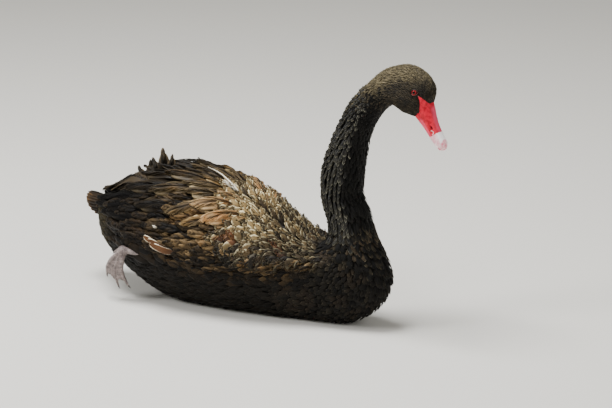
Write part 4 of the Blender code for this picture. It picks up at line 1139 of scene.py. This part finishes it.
for sideName, surface, loose in (("left", wingSurface, 1.0), ("right", rightWing, 0.3)):
    pad = wingPad("wing_pad_" + sideName, surface, sideName == "right")
    padFinish.on(pad)
    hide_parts("wing_" + sideName)

    # flight feathers: long stiff vanes with white ends, mostly under the others
    k = np.arange(9)
    tier("flight_" + sideName, "flight", surface, -0.085 - 0.004 * k, np.radians(2 + 8.0 * k),
         vane(12, 5, 0.5, 2.6, 0.5, 0.0007, camber=0.10), wingMap, length=0.112 + 0.004 * k, width=0.024,
         lifts=heights(-0.012, -0.006, -0.006 + 0.0004 * k), slant=np.radians(3.0) + 0.02 * (k - 4))

    # greater coverts over them, along the flank side
    x, angle = gridRoots(np.arange(-0.135, 0.085, 0.024), np.arange(-10.0, 46.0, 9.0), 0.28)
    n = len(x)
    silkyTier("greater_coverts_" + sideName, "flank", surface, vane(7, 5, 0.62, 2.4, 0.5, 0.0006),
              vane(4, 3, 0.45, 1.5, 0.6, 0.0003, camber=0.25, cover=1.3, droop=0.16, stray=0.0010), 13,
              u=x, v=angle, length=between(0.054, 0.076, n), width=between(0.021, 0.028, n),
              lifts=heights(-0.006, -0.001, between(0.000, 0.0045, n)), slant=between(-0.22, 0.02, n),
              twist=between(-0.10, 0.10, n), ripple=0.0008, waves=1.8)

    # silky flank feathers that cover the wing's lower edge
    x, angle = gridRoots(np.arange(-0.12, 0.232, 0.017), np.array((-24.0, -14.0, -4.0)), 0.3)
    n = len(x)
    silkyTier("flank_" + sideName, "flank", surface, vane(7, 5, 0.6, 1.8, 0.45, 0.0005),
              vane(4, 3, 0.45, 1.4, 0.6, 0.0003, camber=0.25, cover=1.3, droop=0.12, stray=0.0013), 12,
              u=x, v=angle, length=between(0.045, 0.072, n) * np.interp(x, (0.0, 0.23), (1, 0.6)),
              width=between(0.017, 0.024, n) * np.interp(x, (0.0, 0.23), (1, 0.75)),
              lifts=heights(-0.006, 0.0, between(0.000, 0.005, n)), slant=between(-0.16, 0.06, n),
              twist=between(-0.12, 0.12, n))

    # scaly coverts of the shoulder: round and domed, pale rims curled up and frayed; rusty in places
    x, angle = spreadRoots(surface, scaleCoat["span"], scaleCoat["turns"], *scaleCoat["gaps"], 0.28)
    keep = x > 0.018 + np.clip(83 - np.degrees(angle), 0, 100) * 0.00075 + between(-0.006, 0.006, len(x))
    x, angle = x[keep], angle[keep]
    n = len(x)
    size = np.interp(x, (0.02, 0.12, 0.24), (1.10, 1.0, 0.74)) * between(0.88, 1.14, n)
    scales = {"u": x, "v": angle, "length": scaleCoat["length"] * size, "width": scaleCoat["width"] * size,
              "lifts": heights(-0.0075, -0.0020, between(0.0, 0.0030, n) * size),
              "curl": between(0.0, 0.0030, n) * size, "rim": between(0.0004, 0.0034, n) * size,
              "slant": between(-0.60, 0.15, n), "twist": between(-0.28, 0.28, n), "tone": between(0, 1, n),
              "phase": between(0, 1, n), "camber": between(0.20, 0.42, n), "ripple": 0.0009, "waves": 1.6}
    rust = np.zeros(n, bool)
    for spotX, spotAngle, reach in scaleCoat["rust"]:
        rust |= np.hypot(x - spotX, (angle - math.radians(spotAngle)) * 0.09) < reach
    for part, kind, frayKind, name in ((~rust, "covert", "fray", "scale_coverts_" + sideName),
                                       (rust, "rusty", "rustyFray", "rusty_coverts_" + sideName)):
        some = {key: value if np.isscalar(value) else value[part] for key, value in scales.items()}
        strands = strandRoots(surface, some, scaleFray, 6)
        wingTier(name, kind, surface, scaleVane, some)
        wingTier(name + "_frays", frayKind, surface, scaleFray, strands)

    # the long loose feathers of the back
    for name, kind, rows in (("tertials_", "tertial", tertialRows), ("scapulars_", "scapular", scapularRows),
                             ("arched_tertials_", "arch", archRows), ("tan_scapulars_", "tan", tanRows)):
        roots = rowRoots(rows, loose)
        n = len(rows)
        silkyTier(name + sideName, kind, surface, backVane, backStrand, 32, ripple=between(0.0005, 0.0025, n),
                  waves=between(1.2, 2.0, n), twist=between(-0.12, 0.12, n), **roots)
    roots = rowRoots(ruffledRows, loose)
    roots["lifts"][:, 1:] *= 1.0 if sideName == "right" else 0.4
    silkyTier("ruffled_" + sideName, "arch", surface, dict(backVane, fullest=0.45, blunt=1.6),
              dict(backStrand, droop=0.10, stray=0.0004, cover=2.0), 12, **roots)


# Feathers blown upright on the right wing: root x, y, z, the way it stands, length, width, tone.
standRows = np.array((
    (-0.117, -0.026, 0.203, -0.14, 0.0, 1.0, 0.054, 0.029, 0.45),
    (-0.108, -0.024, 0.206, 0.06, 0.0, 1.0, 0.042, 0.024, 0.35),
    (-0.125, -0.030, 0.198, -0.42, 0.0, 1.0, 0.044, 0.026, 0.25),
    (-0.146, -0.030, 0.190, -0.04, 0.0, 1.0, 0.044, 0.028, 0.40),
    (-0.156, -0.028, 0.186, -0.55, 0.0, 1.0, 0.038, 0.026, 0.30)))
standPlaces = np.radians(80.0 - 4.0 * np.arange(len(standRows)))
standWay = standRows[:, 3:6] / np.linalg.norm(standRows[:, 3:6], axis=1)[:, None]
standFacing = np.array((0.42, -0.90, 0.10)) / np.linalg.norm((0.42, -0.90, 0.10))
standAcross = np.cross(standWay, standFacing)
standAcross /= np.linalg.norm(standAcross, axis=1)[:, None]


def standSurface(u, v, lift):
    # one plane for each standing feather: root + way (x - u) + across (v - its angle) + facing lift
    u, v, lift = np.broadcast_arrays(u, v, lift)
    k = np.argmin(np.abs(v[..., None] - standPlaces), -1)
    return (standRows[k, :3] + standWay[k] * (standRows[k, 0] - u)[..., None]
            + standAcross[k] * (v - standPlaces[k])[..., None] + standFacing * lift[..., None])


silkyTier("standing", "arch", standSurface, vane(14, 7, 0.45, 1.25, 0.6, 0.0007),
          vane(5, 3, 0.40, 1.6, 0.6, 0.0003, camber=0.3, cover=1.6, open=0.7, droop=0.16, stray=0.0004), 16,
          u=standRows[:, 0], v=standPlaces, length=standRows[:, 6], width=standRows[:, 7],
          tone=standRows[:, 8], lifts=heights(0 * standPlaces, 0.003, -0.003), ripple=0.0012, waves=1.4)


# marks that only the right wing shows: a bare white quill, three cream-edged feathers, down and wisps
quillX, quillDegrees = 0.029, 82
run = np.linspace(0, 1, 40)
quillLine = rightWing(quillX + (-0.046 - quillX) * run, np.radians(quillDegrees + 8 * run),
                      0.0055 + 0.0100 * run + 0.0035 * np.sin(math.pi * run))
quill = tubeMesh("bare_quill", limbRings(quillLine, 0.0013 - 0.0009 * run, 12, square=(0, 0, 1.0)), flip=True)
quillLook = {"dusk": tint(206, 190, 160), "pale": tint(250, 242, 222)}
quillFinish = Finish("quillHorn", Roughness=0.42)
grain = quillFinish.noise(quillFinish.place(), 500.0, 2.0)
quillFinish.feed("Base Color", quillFinish.blend(quillLook["dusk"], quillLook["pale"], grain.rise(0.2, 0.6)))
quillFinish.on(quill)
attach(quill, "root")
n = 46
downX = quillX - np.abs(draw.normal(0, 0.012, n))
downDegrees = quillDegrees + (quillX - downX) * 110 + draw.normal(0, 2.2, n)
tier("white_down", "white", rightWing, downX, np.radians(downDegrees),
     vane(6, 3, 0.4, 1.4, 0.5, 0.0003, camber=0.3), wingMap, length=between(0.010, 0.022, n),
     width=between(0.0016, 0.0034, n),
     lifts=heights(0.004, between(0.006, 0.010, n), between(0.004, 0.012, n)),
     slant=between(-0.9, 0.6, n), tone=between(0.3, 1, n))
tier("cream_edged_feathers", "edged", rightWing, np.array((-0.028, -0.044, -0.060)),
     np.radians((-9.5, -5.5, -3.5)), vane(16, 9, 0.55, 2.2, 0.6, 0.0007, camber=0.16), wingMap,
     length=np.array((0.050, 0.036, 0.030)), width=np.array((0.0125, 0.009, 0.009)),
     lifts=np.array(((0.001, 0.008, 0.009), (0.001, 0.008, 0.010), (0.002, 0.008, 0.010))),
     slant=np.array((0.16, 0.24, 0.26)), tone=np.array((0.8, 0.6, 0.7)), ripple=0.0010, waves=1.2)

# white wisps by the flank, then pale ones on the shoulder
wispCounts = (4, 6)
scatter = np.repeat((0.3, 1.0), wispCounts)
wispX = np.repeat((-0.066, 0.036), wispCounts) + between(-0.004, 0.004, len(scatter)) * scatter
wispDegrees = np.repeat((12.5, 16.0), wispCounts) + between(-2.4, 2.4, len(scatter)) * scatter
for name, kind, part in (("white_wisps", "white", slice(0, 4)), ("pale_wisps", "covert", slice(4, 10))):
    n = len(wispX[part])
    tier(name, kind, rightWing, wispX[part], np.radians(wispDegrees[part]),
         vane(6, 3, 0.5, 1.8, 0.5, 0.0004, camber=0.3), wingMap, length=between(0.006, 0.010, n),
         width=between(0.0014, 0.0026, n), slant=between(-0.3, 0.2, n),
         lifts=heights(0.000, 0.004, between(0.004, 0.0065, n)))


# tail
tailFan = {"x": -0.252, "z": 0.148, "front": 0.03, "spread": 9.0, "slope": 0.05, "curve": 1.2, "sides": 9.0}


def tailSurface(along, across, lift):
    # a low fan behind the rump, b behind its x: y = across (1 + spread b),
    # z = z + slope b + curve b^2 - sides y^2
    along, across, lift = np.broadcast_arrays(along, across, lift)
    back = np.maximum(-along, -tailFan["front"])
    y = across * (1 + tailFan["spread"] * np.maximum(back, 0.0))
    z = (tailFan["z"] + tailFan["slope"] * back + tailFan["curve"] * back * back
         - tailFan["sides"] * y * y + lift)
    return np.stack([tailFan["x"] - back, y, z], -1)


tailMap = ((-0.2, 0.2), (-0.3, 0.3))
offMiddle = np.arange(14) - 6.5
place = offMiddle / 6.5
sink = 0.0012 * abs(offMiddle)
tailVanes = tier("tail_vanes", "tail", tailSurface, 0.012 + 0 * place, 0.030 * place,
                 vane(12, 7, 0.50, 2.6, 0.5, 0.0007, camber=0.10), tailMap, length=0.067 - 0.038 * place ** 2,
                 width=0.016, lifts=heights(-0.004 - sink, -0.001 - sink, -sink))
# the coverts under the tail fill the wedge down to the rump's lower edge, deep = 1
for name, kind, over, n in (("tail_coverts_upper", "tail", 1.0, 60),
                            ("tail_coverts_lower", "vent", -1.0, 130)):
    deep = between(0.0, 1.0, n) * (over < 0)
    across = between(-0.030, 0.030, n) * np.sqrt(1.05 - deep * deep)
    shorter = (1 - 0.4 * deep) * (1 - 400 * across ** 2)
    tier(name, kind, tailSurface, between(-0.002, 0.026, n), across,
         vane(6, 5, 0.5, 2.0, 0.5, 0.0005, camber=0.25 * over), tailMap,
         length=between(0.018, 0.030, n) * shorter, width=between(0.010, 0.014, n), slant=across * 4.0,
         lifts=heights(-0.001 + 0.003 * over - 0.027 * deep, over * between(0.003, 0.007, n) - 0.023 * deep,
                       over * between(0.0, 0.002, n) - 0.009 * deep) - (0.003 if over < 0 else 0.0))
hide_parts("tail")


# feet
foot = {"knuckle": np.array((-0.1435, 0.116, 0.096)), "heel": np.array((-0.070, 0.100, 0.090)),
        # each toe: its place from front to back, the way it hangs, its length
        "toes": ((-1.0, (-0.02, -0.16, -1.0), 0.064), (0.0, (-0.30, -0.20, -0.95), 0.074),
                 (1.0, (-0.62, -0.20, -0.80), 0.068))}


def toeLine(spread, way, reach, t):
    # knuckle + offset(spread) + t reach way + bow sin(pi t), crumpled by small sines
    start = foot["knuckle"] + np.array((-0.003 - 0.004 * spread, 0.0, -0.003))
    line = start + t[:, None] * reach * np.array(way) / np.linalg.norm(way)
    line = line + np.array((-0.006, 0.006, 0.0)) * np.sin(math.pi * t)[:, None]
    return line + np.array((0.0008, 0.0006, 0.0)) * (np.sin(9 * t + spread) * t)[:, None]


def webRings(near, far, t):
    # between two toes: near (1 - s) + far s, sagging by sin(pi s), its free edge drawn in between the toes
    s = np.linspace(0, 1, 25)
    ends = 0.93 - 0.13 * np.sin(math.pi * s)
    a = np.stack([np.interp(t[:, None] * ends, t, line) for line in near.T], -1)
    b = np.stack([np.interp(t[:, None] * ends, t, line) for line in far.T], -1)
    top = a + (b - a) * s[None, :, None]
    sag = np.sin(math.pi * s)[None, :]
    wrinkle = 0.0005 * np.sin(34 * s[None, :] + 5 * t[:, None]) * sag * (0.3 + t[:, None])
    top[..., 1] += 0.0030 * sag + wrinkle
    low = top - np.array((0.0, 0.0009, 0.0))
    return np.concatenate([top, low[:, ::-1]], 1)


legAxis = foot["heel"] - foot["knuckle"]
legAxis /= np.linalg.norm(legAxis)
t = np.linspace(0, 1, 60)
joints = 1 + 0.13 * np.exp(-((t - 0.34) / 0.045) ** 2) + 0.12 * np.exp(-((t - 0.66) / 0.04) ** 2)
folds = 1 + 0.035 * np.sin(t * 95.0)
toeLines = [toeLine(*toe, t) for toe in foot["toes"]]
toeTubes = [limbRings(line, (0.0044 - 0.0028 * t ** 2) * joints * folds * 0.98) for line in toeLines]
hindStart = foot["knuckle"] + np.array((-0.006, -0.002, 0.0))
hindLine = hindStart + np.stack([-0.019 * t, -0.003 * t, -0.003 * t - 0.006 * t * t], -1)
toeTubes.append(limbRings(hindLine, (0.0032 - 0.0018 * t) * folds))
run = np.linspace(0, 1, 60)
shankLine = foot["heel"] + (foot["knuckle"] + legAxis * 0.004 - foot["heel"]) * run[:, None]
shankTube = limbRings(shankLine, (0.0074 - 0.0018 * run) * (1 + 0.02 * np.sin(run * 90.0)), flat=0.9)
lump = np.linspace(-1, 1, 60)
lumpLine = foot["knuckle"] + legAxis * (-lump * 0.0095)[:, None] + np.array((-0.002, 0.0005, -0.002))
lumpSize = 0.0090 * np.sqrt(np.clip(1 - (lump * 0.97) ** 2, 0, 1)) * (1 + 0.06 * np.sin(lump * 21.0))
lumpTube = limbRings(lumpLine, lumpSize)
clawTubes = []
for line, size in [(line, 0.0017) for line in toeLines] + [(hindLine, 0.0013)]:
    way = line[-1] - line[-6]
    way /= np.linalg.norm(way)
    k = np.linspace(0, 1, 14)
    hook = line[-1] - way * 0.001 + way * 0.0085 * k[:, None]
    hook = hook + np.array((0.0, -0.0022, 0.0)) * (k * k)[:, None]
    clawTubes.append(limbRings(hook, size * np.sqrt(np.clip(1.02 - k, 0.02, 1)), 20, 0.8))

footLook = {"pale": tint(178, 162, 157), "dusk": tint(132, 119, 117), "groove": tint(74, 66, 65),
            "claw": tint(34, 30, 30), "clawTip": tint(82, 74, 70)}
finish = Finish("footSkin", Roughness=0.46, Specular_IOR_Level=0.4)
spot = finish.place()
scutes = finish.node("ShaderNodeTexVoronoi", {"feature": "DISTANCE_TO_EDGE"},
                     {"Vector": spot, "Scale": 620.0}, "Distance")
patchy = finish.noise(spot, 130.0, 3.0)
crease = finish.noise(spot, 420.0, 4.0, 0.65)
colour = finish.blend(footLook["dusk"], footLook["pale"], patchy.rise(0.35, 0.62))
scale = scutes.rise(0.02, 0.14) * 0.6 + crease.rise(0.35, 0.6) * 0.4
colour = finish.blend(footLook["groove"], colour, scale)
finish.feed("Base Color", colour)
finish.bump(scutes.rise(0.0, 0.2) + crease * 0.8, 0.7, 0.0007)
clawFinish = Finish("clawHorn", Roughness=0.35)
horn = clawFinish.noise(clawFinish.place(), 300.0, 3.0)
clawFinish.feed("Base Color", clawFinish.blend(footLook["claw"], footLook["clawTip"], horn))
for sideName, flip in mirrors:
    shank = tubesMesh("shank_" + sideName, [shankTube], flip)
    toes = tubesMesh("toes_" + sideName, [lumpTube] + toeTubes, flip)
    webs = tubesMesh("webs_" + sideName, [webRings(toeLines[k], toeLines[k + 1], t) for k in (0, 1)], flip)
    claws = tubesMesh("claws_" + sideName, clawTubes, flip)
    for piece in (shank, toes, webs, claws):
        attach(piece, "root")
    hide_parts("leg_" + sideName)
    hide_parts("foot_" + sideName)
    finish.on(shank, toes, webs)
    clawFinish.on(claws)
print("feet", sum(len(o.data.polygons) for o in (shank, toes, webs, claws)), "faces a side")


# stage, light and camera
# 35 degrees round and 16 up, as unit vectors back from the aim, to the right and up; the focal length and
# the picture's shift are in pixels of the photo's frame
camera = {"aim": np.array((0.0, 0.0, 0.075)), "distance": 4.6, "focal": 2643.7, "frameWidth": 612,
          "back": np.array((0.5514, -0.7874, 0.2756)), "right": np.array((0.8192, 0.5736, 0.0)),
          "up": np.array((-0.1581, 0.2258, 0.9613)), "shiftRight": 76, "shiftUp": 54}


def placeCamera():
    # stands on a sphere round the aim and looks past it, so that the bird lies left of and below the middle
    lens = bpy.data.cameras.new("camera")
    lens.sensor_width = 36.0
    lens.lens = 36.0 * camera["focal"] / camera["frameWidth"]
    made = addObject("camera", lens)
    made.location = Vector(camera["aim"] + camera["back"] * camera["distance"])
    look = (-camera["back"] * camera["focal"] + camera["right"] * camera["shiftRight"]
            + camera["up"] * camera["shiftUp"])
    made.rotation_euler = Vector(look).to_track_quat("-Z", "Y").to_euler()
    bpy.context.scene.camera = made


placeCamera()
floorCount = 25                # points along each side of the floor
floorGrid = np.linspace(-12, 12, floorCount)
gridX, gridY = np.meshgrid(floorGrid, floorGrid, indexing="ij")
floor = fillMesh("floor", np.stack([gridX, gridY, np.full_like(gridX, -0.0002)], -1).reshape(-1, 3),
                 gridQuads(floorCount, floorCount, False)[:, ::-1])
finish = Finish("paleFloor", Base_Color=tint(214, 212, 206), Roughness=0.9, Specular_IOR_Level=0.1)
finish.on(floor)


def softLight(name, place, aim, size, power):
    lamp = bpy.data.lights.new(name, "AREA")
    lamp.shape, lamp.size, lamp.energy = "DISK", size, power
    made = addObject(name, lamp)
    made.location = place
    made.rotation_euler = (Vector(aim) - Vector(place)).to_track_quat("-Z", "Y").to_euler()


softLight("skyLight", (-0.5, -0.5, 3.2), (0, 0, 0.1), 1.5, 190)
softLight("sideLight", (-2.0, -2.8, 2.4), (0, 0, 0.2), 1.5, 95)
softLight("frontLight", (2.8, -1.2, 1.8), (0, 0, 0.2), 1.6, 30)
world = bpy.data.worlds.new("paleRoom")
world.use_nodes = True
world.node_tree.nodes["Background"].inputs["Color"].default_value = tint(232, 230, 222)
world.node_tree.nodes["Background"].inputs["Strength"].default_value = 0.42
bpy.context.scene.world = world
